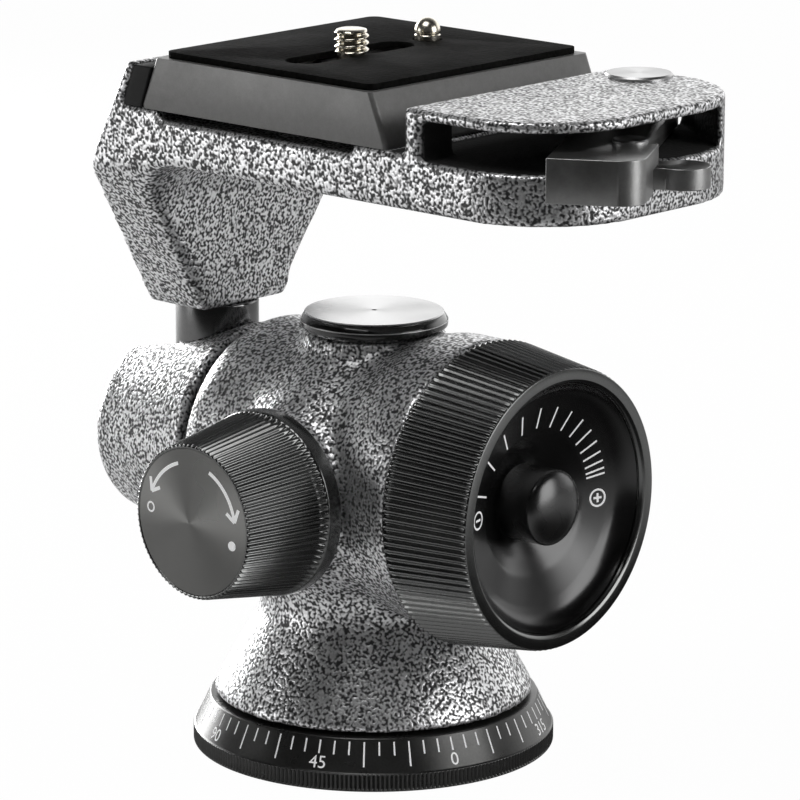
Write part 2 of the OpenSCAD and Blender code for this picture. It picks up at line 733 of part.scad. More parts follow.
// Ball, cap and stem
socket_r = ball_d / 2 + liner_t + face_gap;
keeper_x = spigot_end_x - 2.6;
module keeper(d, clear) {
    bar_x(d, keeper_x - clear, keeper_x + keeper_w + clear);
}
module ball_cap() {
    color(hammertone) difference() {
        union() {
            turned_x(concat(
                [[0, cap_face_x], [cap_d / 2 - 0.6, cap_face_x], [cap_d / 2, cap_face_x - 0.6]],
                [for (a = [0:10:80]) [
                    cap_tip_d / 2 * pow(cos(a), 2 / cap_full),
                    -cap_tip_x - (cap_end_x - cap_tip_x) * pow(sin(a), 2 / cap_full)
                ]],
                [[0, -cap_end_x]]
            ));
            bar_x(spigot_d, cap_face_x - 1, spigot_end_x);
        }
        translate([-stem_x, 0, axis_z]) sphere(r = socket_r);
        bar_x(2 * socket_r, -stem_x, spigot_end_x + 1);
        stem_path();
        difference() {
            keeper(spigot_d + 1, seat_fit);
            keeper(spigot_d - 2 * keeper_depth, 1);
        }
    }
}
// The room that the stem sweeps as it drops from upright to the end of the cap
module stem_path() {
    d = stem_d + 2 * face_gap;
    out_x = -stem_x - (foot_z - axis_z);
    translate([-stem_x, 0, 0]) bar_z(d, axis_z, foot_z);
    bar_x(d, out_x, -stem_x);
    across_y(d) polygon([[-stem_x, axis_z], [-stem_x, foot_z], [out_x, foot_z], [out_x, axis_z]]);
}
module ball_liner() {
    color(polymer) difference() {
        intersection() {
            translate([-stem_x, 0, axis_z]) sphere(r = socket_r - seat_fit);
            translate([-stem_x - 50, -25, 0]) cube([50, 50, foot_z]);
        }
        translate([-stem_x, 0, axis_z]) sphere(r = ball_d / 2 + face_gap);
        stem_path();
    }
}
module cap_ring() {
    color(steel) difference() {
        keeper(spigot_d + 2 * keeper_depth, 0);
        keeper(spigot_d - 2 * keeper_depth + 2 * seat_fit, 1);
    }
}
module ball() {
    color(steel) difference() {
        translate([-stem_x, 0, axis_z]) sphere(d = ball_d);
        translate([-stem_x, 0, 0]) {
            bar_z(shank_d + 2 * seat_fit, axis_z - ball_d / 4, foot_z);
            bar_z(stem_d + 1, axis_z + ball_d / 2 - 2.6, foot_z);
        }
    }
}
module stem() {
    color(black) translate([-stem_x, 0, 0]) turned_z([
        [0, axis_z - ball_d / 4], [shank_d / 2, axis_z - ball_d / 4],
        [shank_d / 2, axis_z + ball_d / 2 - 2.6], [stem_d / 2, axis_z + ball_d / 2 - 2.6],
        [stem_d / 2, foot_z], [stud_d / 2, foot_z], [stud_d / 2, foot_z + stud_len], [0, foot_z + stud_len]
    ]);
}

// Arm with the clamp at its free end
module arm_plan() {
    translate([-40, -arm_w / 2]) square([40 + corner_c[0], arm_w]);
    translate([-40, -corner_c[1]]) square([40 + clamp_end, 2 * corner_c[1]]);
    for (s = [-1, 1]) translate([corner_c[0], s * corner_c[1]]) circle(clamp_r);
}
module spine() {
    fillet_c = [foot_right_x + spine_lean + fillet_r, platform_z - fillet_r];
    intersection() {
        across_y(arm_w) polygon(concat(
            [[foot_left_x, foot_z], [foot_right_x, foot_z]],
            arc(fillet_c, fillet_r, 180, 90, 8),
            [[fillet_c[0] + 5, platform_z], [fillet_c[0] + 5, seat_z], [jaw_in_x, seat_z]],
            [[jaw_in_top_x, clamp_top], [jaw_out_top_x, clamp_top], [foot_left_x + back_lean, bend_z]]
        ));
        along_x(-100, 100) polygon([
            [-foot_l / 2, foot_z], [foot_l / 2, foot_z], [arm_w / 2, flare_z],
            [arm_w / 2, clamp_top], [-arm_w / 2, clamp_top], [-arm_w / 2, flare_z]
        ]);
    }
}
module lever_slot_plan() {
    post_y = -arm_w / 2 + 9;
    nose_room_x = plate_x + plate_w / 2;
    polygon([
        [post_x, -arm_w], [2 * clamp_end, -arm_w], [2 * clamp_end, stop_front[1]], stop_front, stop_back,
        [stop_back[0], arm_w], [nose_room_x, arm_w], [nose_room_x, post_y], [post_x, post_y]
    ]);
}
module catch_notch_plan() {
    far = 60;
    r = norm(catch_pivot - [pivot_x, pivot_y]);
    a = atan2(catch_pivot[1] - pivot_y, catch_pivot[0] - pivot_x);
    low = a - 8;
    high = a + lever_open + 9;
    translate([pivot_x, pivot_y]) intersection() {
        difference() {
            circle(r + tab_r);
            circle(r - tab_r);
        }
        polygon([[0, 0], far * [cos(low), sin(low)], far * [cos(high), sin(high)]]);
    }
}
module arm() {
    color(hammertone) difference() {
        union() {
            spine();
            plan(platform_z, seat_z) intersection() {
                arm_plan();
                translate([foot_right_x + spine_lean + fillet_r, -arm_w]) square(2 * arm_w);
            }
            plan(seat_z - eps, clamp_top) intersection() {
                arm_plan();
                translate([clamp_face, -arm_w]) square(2 * arm_w);
            }
        }
        translate([plate_x - plate_w / 2 + relief_in, -arm_w, seat_z - relief_d])
            cube([relief_w, 2 * arm_w, relief_d + 1]);
        plan(slot_z, slot_top) lever_slot_plan();
        plan(catch_z - face_gap, slot_z + 1) catch_notch_plan();
        translate([pivot_x, pivot_y, 0]) {
            bar_z(pivot_d + 2 * seat_fit, platform_z + 2, clamp_top + 1);
            bar_z(pivot_d + 4, slot_z - 5, slot_z + 1);
        }
        translate([-stem_x, 0, 0]) bar_z(stud_d + 2 * seat_fit, foot_z - 1, foot_z + stud_len + 0.5);
    }
}
module jaw_liner() {
    flank_x = plate_x - plate_w / 2 - face_gap;
    color(black) across_y(arm_w - 0.6) polygon([
        [jaw_in_x, seat_z], [flank_x, seat_z],
        [flank_x + (clamp_h - 0.4) * plate_slope, clamp_top - 0.4],
        [jaw_in_x + (clamp_h - 0.4) * plate_slope, clamp_top - 0.4]
    ]);
}
module pivot_pin() {
    color(steel) translate([pivot_x, pivot_y, 0]) turned_z([
        [0, platform_z + 2], [pivot_d / 2, platform_z + 2], [pivot_d / 2, clamp_top],
        [pivot_head_d / 2, clamp_top], [pivot_head_d / 2 - 0.4, clamp_top + pivot_head_h],
        [0, clamp_top + pivot_head_h]
    ]);
}
module lever_spring() {
    color(steel) translate([pivot_x, pivot_y, 0])
        tube_z(pivot_d + 3.4, pivot_d + 0.6, slot_z - 5, slot_z - 0.2);
}

// Lever and safety catch
module lever_frame() {
    translate([pivot_x, pivot_y, 0]) rotate(lever_angle) children();
}
module handle_plan(from) {
    translate([from, -lever_w / 2]) {
        square([lever_len - from - handle_r, lever_w / 2 + handle_out]);
        square([lever_len - from, lever_w / 2 + handle_out - handle_r]);
    }
    translate([lever_len - handle_r, handle_out - handle_r]) circle(handle_r);
}
module lever() {
    color(satin_grey) difference() {
        union() {
            lever_frame() plan(lever_z, lever_top) {
                translate([0, -lever_w / 2]) square([handle_from + eps, lever_w]);
                handle_plan(handle_from);
                circle(d = lever_w);
                rotate(nose_angle - lever_angle) translate([0, -cam_r]) square([nose_reach, 2 * cam_r]);
                rotate(nose_angle - lever_angle) translate([nose_reach, 0]) circle(cam_r);
            }
            difference() {
                lever_frame() plan(lip_z, lever_z + eps) handle_plan(catch_along + tab_r + 2);
                plan(lip_z - 1, lever_z) {
                    translate([corner_c[0], -corner_c[1]]) circle(clamp_r + 3 * face_gap);
                    translate([0, -corner_c[1]]) square([clamp_end + 3 * face_gap, arm_w]);
                }
            }
        }
        lever_frame() bar_z(pivot_d + 2 * run_fit, 0, clamp_top);
        translate([catch_pivot[0], catch_pivot[1], 0]) {
            bar_z(catch_pin_d + 2 * seat_fit, 0, clamp_top);
            bar_z(catch_pin_d + 2.6, lever_z - 1, lever_z + 2.5);
        }
    }
}
module catch_pin() {
    color(steel) translate([catch_pivot[0], catch_pivot[1], 0]) {
        bar_z(catch_pin_d, catch_z, lever_top);
        bar_z(catch_head_d, lever_top, lever_top + 0.6);
    }
}
module catch_spring() {
    color(steel) translate([catch_pivot[0], catch_pivot[1], 0])
        tube_z(catch_pin_d + 2.2, catch_pin_d + 0.4, lever_z, lever_z + 2.5);
}
module safety_catch() {
    reach = norm(tab_at - catch_pivot);
    turn = atan2(tab_at[1] - catch_pivot[1], tab_at[0] - catch_pivot[0]);
    color(satin_grey) translate([catch_pivot[0], catch_pivot[1], 0]) difference() {
        plan(catch_z, catch_z + catch_t) {
            circle(tab_r - 0.7);
            rotate(turn) translate([0, -tab_r + 1.2]) square([reach, 2 * tab_r - 2.4]);
            translate(tab_at - catch_pivot) circle(tab_r);
        }
        bar_z(catch_pin_d + 2 * run_fit, catch_z - 1, catch_z + catch_t + 1);
    }
}

// Quick-release plate
module plate() {
    color(satin_grey) difference() {
        translate([plate_x, 0, seat_z]) hull() for (sy = [-1, 1], sx = [-1, 1]) {
            translate([sx * (plate_w / 2 - plate_r), sy * (plate_l / 2 - plate_r), 0])
                cylinder(r = plate_r, h = 0.8);
            translate([sx * (plate_top_w / 2 - plate_r), sy * (plate_l / 2 - plate_r), plate_h - 0.4])
                cylinder(r = plate_r, h = 0.4);
        }
        screw_slot(screw_slot_w, seat_z - 1, plate_top + 1);
        screw_slot(head_d + 2 * face_gap, seat_z - 1, seat_z + head_recess);
        screw_slot(clip_d + 2 * face_gap, plate_top - clip_recess, plate_top + 1);
        translate([plate_x, video_y, 0]) {
            bar_z(video_d + 2 * run_fit, seat_z - 1, plate_top + 1);
            bar_z(video_flange_d + 2 * face_gap, seat_z - 1, video_stop_z);
        }
    }
}
module screw_slot(w, a, b) {
    plan(a, b) {
        translate([plate_x - w / 2, slot_near]) square([w, slot_far - slot_near]);
        for (y = [slot_near, slot_far]) translate([plate_x, y]) circle(d = w);
    }
}
module pad() {
    color(black) difference() {
        translate([plate_x, 0, 0]) plan(plate_top, pad_top) rounded_plan(pad_w, pad_l, 2);
        screw_slot(screw_slot_w + 0.4, plate_top - 1, pad_top + 1);
        translate([plate_x, video_y, 0]) bar_z(video_d + 0.8, plate_top - 1, pad_top + 1);
    }
}
screw_head_z = seat_z + 0.6;
screw_head_top = seat_z + head_recess - face_gap;
thread_z = pad_top + 0.2;
module camera_screw() {
    tip_z = pad_top + camera_h;
    color(steel) translate([plate_x, camera_y, 0]) difference() {
        turned_z([
            [0, screw_head_z], [head_d / 2 - 0.4, screw_head_z], [head_d / 2, screw_head_z + 0.4],
            [head_d / 2, screw_head_top], [waist_d / 2, screw_head_top], [waist_d / 2, thread_z],
            [camera_d / 2, thread_z], [camera_d / 2, tip_z - 0.6], [camera_d / 2 - 0.6, tip_z], [0, tip_z]
        ]);
        translate([-0.8, -head_d, screw_head_z - 1]) cube([1.6, 2 * head_d, 2.6]);
    }
}
module screw_clip() {
    clip_z = plate_top - clip_recess + face_gap;
    color(steel) translate([plate_x, camera_y, 0])
        tube_z(clip_d, waist_d + 2 * run_fit, clip_z, clip_z + clip_h);
}
video_flange_d = video_d + 1;
video_flange_h = 1.2;
video_stop_z = plate_top - 3;
video_foot = video_stop_z - face_gap - video_flange_h;
plug_h = 0.8;
pin_bore_d = video_d - 1.8;
pin_bore_top = pad_top + 1;
module video_pin() {
    color(steel) translate([plate_x, video_y, 0]) difference() {
        union() {
            bar_z(video_d, video_foot, pad_top + video_h - video_d / 2);
            bar_z(video_flange_d, video_foot, video_foot + video_flange_h);
            translate([0, 0, pad_top + video_h - video_d / 2]) sphere(d = video_d);
        }
        bar_z(pin_bore_d, video_foot - 1, pin_bore_top);
    }
}
module pin_plug() {
    color(steel) translate([plate_x, video_y, 0])
        bar_z(video_flange_d + 2 * face_gap - 2 * seat_fit, seat_z, seat_z + plug_h);
}
module pin_spring() {
    spring_d = pin_bore_d - 2 * face_gap;
    color(steel) translate([plate_x, video_y, 0])
        tube_z(spring_d, spring_d - 0.8, seat_z + plug_h, pin_bore_top - face_gap);
}

scale_ring();
base_plate();
tripod_bush();
base_screws();
pan_spindle();
slip_washer();
spring_washer();
spindle_nut();
housing();
pan_bush();
top_disc();
pan_screw_bush();
tilt_bush();
brake_pin();
pan_knob();
pan_face();
pan_screw();
pan_knob_screw();
tilt_knob();
tilt_hub();
tilt_screw();
tilt_knob_screw();
piston();
disc_springs();
thrust_disc();
ball_cap();
ball_liner();
cap_ring();
ball();
stem();
arm();
jaw_liner();
pivot_pin();
lever_spring();
lever();
catch_pin();
catch_spring();
safety_catch();
plate();
pad();
pin_plug();
pin_spring();
camera_screw();
screw_clip();
video_pin();
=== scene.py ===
# %% Load the fixed frame
import json
import math
import bmesh
import bpy
import numpy as np
from mathutils import Matrix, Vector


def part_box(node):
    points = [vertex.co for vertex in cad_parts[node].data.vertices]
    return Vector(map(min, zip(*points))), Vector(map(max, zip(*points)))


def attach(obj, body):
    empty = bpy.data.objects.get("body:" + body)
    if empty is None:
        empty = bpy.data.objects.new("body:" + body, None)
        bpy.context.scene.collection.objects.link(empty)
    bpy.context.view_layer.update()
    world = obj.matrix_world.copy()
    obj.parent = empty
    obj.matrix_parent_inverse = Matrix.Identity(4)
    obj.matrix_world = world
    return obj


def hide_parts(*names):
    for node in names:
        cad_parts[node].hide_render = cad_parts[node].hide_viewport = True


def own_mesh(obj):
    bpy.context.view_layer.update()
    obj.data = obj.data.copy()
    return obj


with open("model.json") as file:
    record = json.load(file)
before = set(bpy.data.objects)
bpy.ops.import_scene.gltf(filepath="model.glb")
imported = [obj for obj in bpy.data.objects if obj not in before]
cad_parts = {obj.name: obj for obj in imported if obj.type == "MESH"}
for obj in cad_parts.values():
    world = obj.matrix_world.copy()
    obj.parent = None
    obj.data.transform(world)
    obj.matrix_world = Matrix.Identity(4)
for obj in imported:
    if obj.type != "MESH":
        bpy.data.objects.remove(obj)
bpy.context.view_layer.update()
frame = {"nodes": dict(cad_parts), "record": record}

MM = 0.001

# %% [markdown]
# The camera comes first, because every later choice is judged through it.
# The picture was taken from well away with a long lens, so its lines hardly converge.
# The place and the direction below were fitted to the object's own circles and edges,
# and the view needs no shift: the lens is simply aimed at the middle of the head.

# %% Camera
eye = np.array([0.582646, -0.627693, 0.274608])
ahead = np.array([-0.65684884, 0.71565759, -0.23745274])
right = np.cross(ahead, [0, 0, 1])
right /= np.linalg.norm(right)
above = np.cross(right, ahead)
roll = math.radians(0.174)
side_axis = right * math.cos(roll) + above * math.sin(roll)
top_axis = above * math.cos(roll) - right * math.sin(roll)
lens = bpy.data.cameras.new("long_lens")
lens.lens = 213.85
lens.sensor_width = 36
camera = bpy.data.objects.new("camera", lens)
pose = np.eye(4)
pose[:3, :3] = np.stack([side_axis, top_axis, -ahead], 1)
pose[:3, 3] = eye
camera.matrix_world = Matrix(pose.tolist())
bpy.context.scene.collection.objects.link(camera)
bpy.context.scene.camera = camera
print("camera:", round(float(np.linalg.norm(eye)), 3), "m from the foot of the head")

# %% [markdown]
# The head stands before a white sweep in a dark room, under a large soft light, with panels around it.
# The sides of each round piece mirror the sweep, its top mirrors the light, and its front stays darker.
# The world is therefore pale low down behind the head, and dark above it and around the camera.
# The white behind the head isn't made by more light: the floor and the world are white only
# to the rays that come straight from the camera, and the lamps stay at a plain level.
# The white table ends a little before the head, and a dark card lies beside the large knob:
# they keep the front of the lever and the dish dark.

# %% Light and floor
bpy.context.scene.view_settings.view_transform = "Standard"


def add(tree, kind, **settings):
    """A new shader node of one kind, with its properties set."""
    node = tree.nodes.new("ShaderNode" + kind)
    for key, value in settings.items():
        setattr(node, key, value)
    return node


def join(tree, *pairs):
    """Links each pair of an output and an input."""
    for start, end in pairs:
        tree.links.new(start, end)


def lamp(name, place, aim, size, power):
    """A rectangular soft light: it stands at place and faces aim, so its -Z axis is the line between them."""
    data = bpy.data.lights.new(name, "AREA")
    data.shape = "RECTANGLE"
    data.size, data.size_y = size
    data.energy = power
    obj = bpy.data.objects.new(name, data)
    back = np.array(place, float) - np.array(aim, float)
    back /= np.linalg.norm(back)
    across = np.cross([0, 0, 1], back)
    across /= np.linalg.norm(across)
    turn = np.eye(4)
    turn[:3, :3] = np.stack([across, np.cross(back, across), back], 1)
    turn[:3, 3] = place
    obj.matrix_world = Matrix(turn.tolist())
    bpy.context.scene.collection.objects.link(obj)
    return obj


middle = np.array([0.0, 0.0, 0.065])
lamp("top_light", middle + [0.02, -0.24, 0.62], middle, (0.36, 0.36), 1.5)
lamp("left_light", middle + [-0.71, 0.18, 0.04], middle, (0.44, 0.50), 7.6)
lamp("front_light", middle + [-0.50, -0.60, 0.08], middle, (0.30, 0.26), 0.9)
lamp("right_light", middle + [0.70, 0.22, 0.20], middle, (0.45, 0.50), 2.7)

TO_SWEEP = (-0.45, 0.89, 0.0)
TO_CAMERA = (0.66, -0.72, 0.0)
CARD = (0.12, 0.06, 0.0)
FLOOR_HALF, FLOOR_Z = 3, -0.0003

world = bpy.data.worlds.new("white_room")
world.use_nodes = True
bpy.context.scene.world = world
tree = world.node_tree
tree.nodes.clear()


def ease(tree, value, start, end, low, high):
    """A smooth step: low before start, high after end."""
    node = add(tree, "MapRange", interpolation_type="SMOOTHSTEP")
    for label, number in (("From Min", start), ("From Max", end), ("To Min", low), ("To Max", high)):
        node.inputs[label].default_value = number
    tree.links.new(value, node.inputs["Value"])
    return node.outputs[0]


seen = add(tree, "LightPath")
ray = add(tree, "TexCoord")
depth = add(tree, "VectorMath", operation="DOT_PRODUCT")
depth.inputs[1].default_value = TO_SWEEP
parts = add(tree, "SeparateXYZ")
level = add(tree, "Math", operation="ABSOLUTE")
sweep = add(tree, "Math", operation="MULTIPLY")
room = add(tree, "Background")
white = add(tree, "Background")
white.inputs["Color"].default_value = (1, 1, 1, 1)
both = add(tree, "MixShader")
out = add(tree, "OutputWorld")
join(tree, (ray.outputs["Generated"], depth.inputs[0]), (ray.outputs["Generated"], parts.inputs[0]),
     (parts.outputs["Z"], level.inputs[0]),
     (ease(tree, depth.outputs["Value"], 0.30, 0.72, 0.04, 1.45), sweep.inputs[0]),
     (ease(tree, level.outputs[0], 0.38, 0.60, 1.0, 0.15), sweep.inputs[1]),
     (sweep.outputs[0], room.inputs["Color"]), (seen.outputs["Is Camera Ray"], both.inputs[0]),
     (room.outputs[0], both.inputs[1]), (white.outputs[0], both.inputs[2]), (both.outputs[0], out.inputs[0]))

floor_mesh = bpy.data.meshes.new("floor")
corners = [(i * FLOOR_HALF, j * FLOOR_HALF, FLOOR_Z) for i, j in ((-1, -1), (1, -1), (1, 1), (-1, 1))]
floor_mesh.from_pydata(corners, [], [(0, 1, 2, 3)])
floor = bpy.data.objects.new("floor", floor_mesh)
bpy.context.scene.collection.objects.link(floor)
pale = bpy.data.materials.new("pale_floor")
pale.use_nodes = True
tree = pale.node_tree
tree.nodes.clear()
seen = add(tree, "LightPath")
share = add(tree, "Math", operation="MULTIPLY")
share.inputs[1].default_value = 0.985
matt = add(tree, "BsdfDiffuse")
where = add(tree, "TexCoord")
apart = add(tree, "VectorMath", operation="DISTANCE")
apart.inputs[1].default_value = CARD
ahead_of = add(tree, "VectorMath", operation="DOT_PRODUCT")
ahead_of.inputs[1].default_value = TO_CAMERA
lit = add(tree, "Math", operation="MULTIPLY")
glow = add(tree, "Emission")
both = add(tree, "MixShader")
out = add(tree, "OutputMaterial")
join(tree, (where.outputs["Object"], apart.inputs[0]), (where.outputs["Object"], ahead_of.inputs[0]),
     (ease(tree, apart.outputs["Value"], 0.05, 0.14, 0.04, 0.80), lit.inputs[0]),
     (ease(tree, ahead_of.outputs["Value"], 0.15, 0.35, 1.0, 0.10), lit.inputs[1]),
     (lit.outputs[0], matt.inputs["Color"]), (seen.outputs["Is Camera Ray"], share.inputs[0]),
     (share.outputs[0], both.inputs[0]), (matt.outputs[0], both.inputs[1]),
     (glow.outputs[0], both.inputs[2]), (both.outputs[0], out.inputs[0]))
floor_mesh.materials.append(pale)

# %% [markdown]
# Three small effects come back on most finishes, so each is a node group that is built once.
# Grain is the faint mottling of a blasted or anodised surface. Turning lines are the fine rings
# that a lathe tool leaves, and they follow the piece's UV map, which holds the way round and the way out.
# Lighter edges stand partly for wear where handling has rubbed a corner and partly for painted highlight
# along the edges: they read a number stored on each point of the mesh.

# %% Shared effects
def effect(name, inputs, outputs):
    """An empty node group with number inputs and number outputs; returns it with its two end nodes."""
    tree = bpy.data.node_groups.new(name, "ShaderNodeTree")
    for label, value in inputs.items():
        socket = tree.interface.new_socket(label, in_out="INPUT", socket_type="NodeSocketFloat")
        socket.default_value = value
    for label in outputs:
        tree.interface.new_socket(label, in_out="OUTPUT", socket_type="NodeSocketFloat")
    return tree, tree.nodes.new("NodeGroupInput"), tree.nodes.new("NodeGroupOutput")


grain, g_in, g_out = effect("surface_grain", {"Scale": 900.0}, ["Fine", "Broad"])
where = add(grain, "TexCoord")
fine = add(grain, "TexNoise")
fine.inputs["Detail"].default_value = 3
broad = add(grain, "TexNoise")
broad.inputs["Detail"].default_value = 2
slower = add(grain, "Math", operation="MULTIPLY")
slower.inputs[1].default_value = 0.06
join(grain, (where.outputs["Object"], fine.inputs["Vector"]),
     (where.outputs["Object"], broad.inputs["Vector"]),
     (g_in.outputs["Scale"], fine.inputs["Scale"]), (g_in.outputs["Scale"], slower.inputs[0]),
     (slower.outputs[0], broad.inputs["Scale"]), (fine.outputs["Fac"], g_out.inputs["Fine"]),
     (broad.outputs["Fac"], g_out.inputs["Broad"]))

turning, t_in, t_out = effect("turning_lines", {"Rings": 300.0}, ["Line"])
unwrap = add(turning, "UVMap", uv_map="way")
way = add(turning, "SeparateXYZ")
rings = add(turning, "TexNoise", noise_dimensions="1D")
rings.inputs["Detail"].default_value = 4
rings.inputs["Roughness"].default_value = 0.7
join(turning, (unwrap.outputs[0], way.inputs[0]), (way.outputs["Y"], rings.inputs["W"]),
     (t_in.outputs["Rings"], rings.inputs["Scale"]), (rings.outputs["Fac"], t_out.inputs["Line"]))

# Wear and painted highlight: convex edges take a lighter tone, broken up by noise.
wear_and_highlight, w_in, w_out = effect("worn_and_highlit_edges", {"Scale": 600.0, "Amount": 0.5}, ["Mask"])
edge = add(wear_and_highlight, "Attribute", attribute_name="edge")
where = add(wear_and_highlight, "TexCoord")
patch = add(wear_and_highlight, "TexNoise")
patch.inputs["Detail"].default_value = 4
product = add(wear_and_highlight, "Math", operation="MULTIPLY")
level = add(wear_and_highlight, "Math", operation="MULTIPLY", use_clamp=True)
join(wear_and_highlight, (where.outputs["Object"], patch.inputs["Vector"]), (w_in.outputs["Scale"], patch.inputs["Scale"]),
     (edge.outputs["Fac"], product.inputs[0]), (patch.outputs["Fac"], product.inputs[1]),
     (product.outputs[0], level.inputs[0]), (w_in.outputs["Amount"], level.inputs[1]),
     (level.outputs[0], w_out.inputs["Mask"]))
print("effects:", [g.name for g in bpy.data.node_groups])

# %% [markdown]
# Most finishes differ only in their numbers: two tones that the grain mixes, a roughness that it moves
# a little, a bump, and a lighter edge tone that is partly wear and partly painted highlight. One function
# builds them from the shared effects.
# What is the same all over a surface, such as metal or not, a coat or the lathe's pull on a highlight,
# is set on the shader's own socket.

# %% Plain finishes
def use(tree, group, **values):
    """Places a node group in a material and sets its number inputs."""
    node = tree.nodes.new("ShaderNodeGroup")
    node.node_tree = group
    for label, value in values.items():
        node.inputs[label].default_value = value
    return node


def blend(tree, mask, low, high):
    """A colour mixed from low to high by a mask; either end is a colour or an output."""
    node = add(tree, "Mix", data_type="RGBA")
    tree.links.new(mask, node.inputs["Factor"])
    for socket, value in ((node.inputs["A"], low), (node.inputs["B"], high)):
        if isinstance(value, tuple):
            socket.default_value = (*value, 1)
        else:
            tree.links.new(value, socket)
    return node.outputs["Result"]


def spread(tree, value, low, high):
    """Maps the middle of a noise, 0.3 to 0.7, to the span from low to high."""
    node = add(tree, "MapRange")
    for label, number in (("From Min", 0.3), ("From Max", 0.7), ("To Min", low), ("To Max", high)):
        node.inputs[label].default_value = number
    tree.links.new(value, node.inputs["Value"])
    return node.outputs[0]


def finish(name, dark, light, rough, scale=900.0, bump=0.05, rings=0.0, edge_wear_highlight=None, **sockets):
    """Tone goes from dark to light by the fine grain, or by turning lines, which also give the bump.
    Roughness follows the broad grain, and the edges take a lighter tone that is partly wear and partly
    painted highlight."""
    made = bpy.data.materials.new(name)
    made.use_nodes = True
    tree = made.node_tree
    shader = tree.nodes["Principled BSDF"]
    for label, value in sockets.items():
        shader.inputs[label.replace("_", " ")].default_value = value
    mottle = use(tree, grain, Scale=scale)
    relief = mottle.outputs["Fine"]
    if rings:
        relief = use(tree, turning, Rings=rings).outputs["Line"]
    tone = blend(tree, relief, dark, light)
    # Lighter edges: partly wear, partly painted highlight along the edges.
    if edge_wear_highlight:
        wear_highlight_mask = use(tree, wear_and_highlight, Scale=650.0, Amount=0.9)
        tone = blend(tree, wear_highlight_mask.outputs["Mask"], tone, edge_wear_highlight)
    if "Anisotropic" in sockets:
        pull = add(tree, "Tangent", direction_type="UV_MAP", uv_map="way")
        tree.links.new(pull.outputs[0], shader.inputs["Tangent"])
    lift = add(tree, "Bump")
    lift.inputs["Strength"].default_value = bump
    lift.inputs["Distance"].default_value = 0.0002
    join(tree, (tone, shader.inputs["Base Color"]), (relief, lift.inputs["Height"]),
         (spread(tree, mottle.outputs["Broad"], *rough), shader.inputs["Roughness"]),
         (lift.outputs[0], shader.inputs["Normal"]))
    return made


# The edge tones below are lighter than their surfaces: partly wear, partly painted highlight along the edges.
wear_highlight_grey = (0.12, 0.12, 0.12)
black_anodised = finish("black_anodised", (0.050, 0.050, 0.049), (0.080, 0.080, 0.078), (0.26, 0.34), 2400.0,
                        edge_wear_highlight=wear_highlight_grey, Metallic=0.8)
knob_black = finish("knob_black", (0.140, 0.142, 0.140), (0.180, 0.182, 0.180), (0.18, 0.23), 2400.0, 0.02,
                    Metallic=1.0)
dish_black = finish("dish_black", (0.002, 0.002, 0.002), (0.005, 0.005, 0.005), (0.20, 0.25), 3000.0, 0.03,
                    Specular_IOR_Level=0.75)
dome_black = finish("dome_black", (0.002, 0.002, 0.002), (0.006, 0.006, 0.006), (0.24, 0.29), 3000.0, 0.02,
                    Specular_IOR_Level=1.0)
dark_chrome = finish("dark_chrome", (0.15, 0.15, 0.15), (0.20, 0.20, 0.20), (0.12, 0.18), 1200.0, 0.01,
                     Metallic=1.0)
polished_black = finish("polished_black", (0.005, 0.005, 0.005), (0.012, 0.012, 0.011), (0.12, 0.18),
                        1200.0, 0.01, Coat_Weight=0.5, Coat_Roughness=0.04)
jaw_black = finish("jaw_black", (0.003, 0.003, 0.003), (0.009, 0.009, 0.009), (0.50, 0.65), 1500.0, 0.10,
                   Specular_IOR_Level=0.3)
satin_dark = finish("satin_dark", (0.24, 0.24, 0.236), (0.31, 0.31, 0.305), (0.32, 0.40), 2600.0, 0.05,
                    edge_wear_highlight=(0.5, 0.5, 0.5), Metallic=1.0)
plate_grey = finish("plate_grey", (0.120, 0.119, 0.116), (0.160, 0.159, 0.154), (0.38, 0.44), 2600.0, 0.06,
                    edge_wear_highlight=(0.26, 0.26, 0.26), Metallic=0.4)
pad_black = finish("pad_black", (0.0, 0.0, 0.0), (0.012, 0.012, 0.011), (0.70, 0.85), 1300.0, 1.0,
                   Specular_IOR_Level=0.03)
warm_steel = finish("warm_steel", (0.62, 0.57, 0.47), (0.80, 0.75, 0.64), (0.16, 0.28), 1400.0, 0.05,
                    edge_wear_highlight=(0.9, 0.87, 0.8), Metallic=1.0)
satin_steel = finish("satin_steel", (0.40, 0.40, 0.40), (0.54, 0.54, 0.54), (0.28, 0.38), 1200.0, 0.05,
                     rings=90.0, Metallic=1.0, Anisotropic=0.5)
spun_bright = finish("spun_bright", (0.46, 0.46, 0.46), (0.58, 0.58, 0.58), (0.20, 0.28), 1200.0, 0.04,
                     rings=160.0, Metallic=1.0, Anisotropic=0.7)
spun_dark = finish("spun_dark", (0.13, 0.13, 0.125), (0.20, 0.20, 0.195), (0.26, 0.32), 1200.0, 0.04,
                   rings=160.0, Metallic=0.95, Anisotropic=0.9)
# The white ink glows a little: painted light that keeps the marks bright on every side.
glowing_white_ink = finish("glowing_white_ink", (0.90, 0.90, 0.90), (1.0, 1.0, 1.0), (0.45, 0.60), 2500.0, 0.02,
                   Emission_Color=(1, 1, 1, 1), Emission_Strength=0.18)
turned_steel = finish("turned_steel", (0.46, 0.46, 0.45), (0.66, 0.66, 0.65), (0.26, 0.40), 1100.0, 0.06,
                      Metallic=1.0)
base_metal = finish("base_metal", (0.40, 0.40, 0.41), (0.58, 0.58, 0.59), (0.34, 0.48), 1300.0, 0.08,
                    Metallic=0.9)
yellow_brass = finish("yellow_brass", (0.58, 0.43, 0.18), (0.74, 0.57, 0.28), (0.22, 0.36), 1200.0, 0.05,
                      Metallic=1.0)
pale_nylon = finish("pale_nylon", (0.66, 0.65, 0.61), (0.78, 0.77, 0.73), (0.40, 0.55), 1500.0, 0.05)
print("finishes:", len(bpy.data.materials))
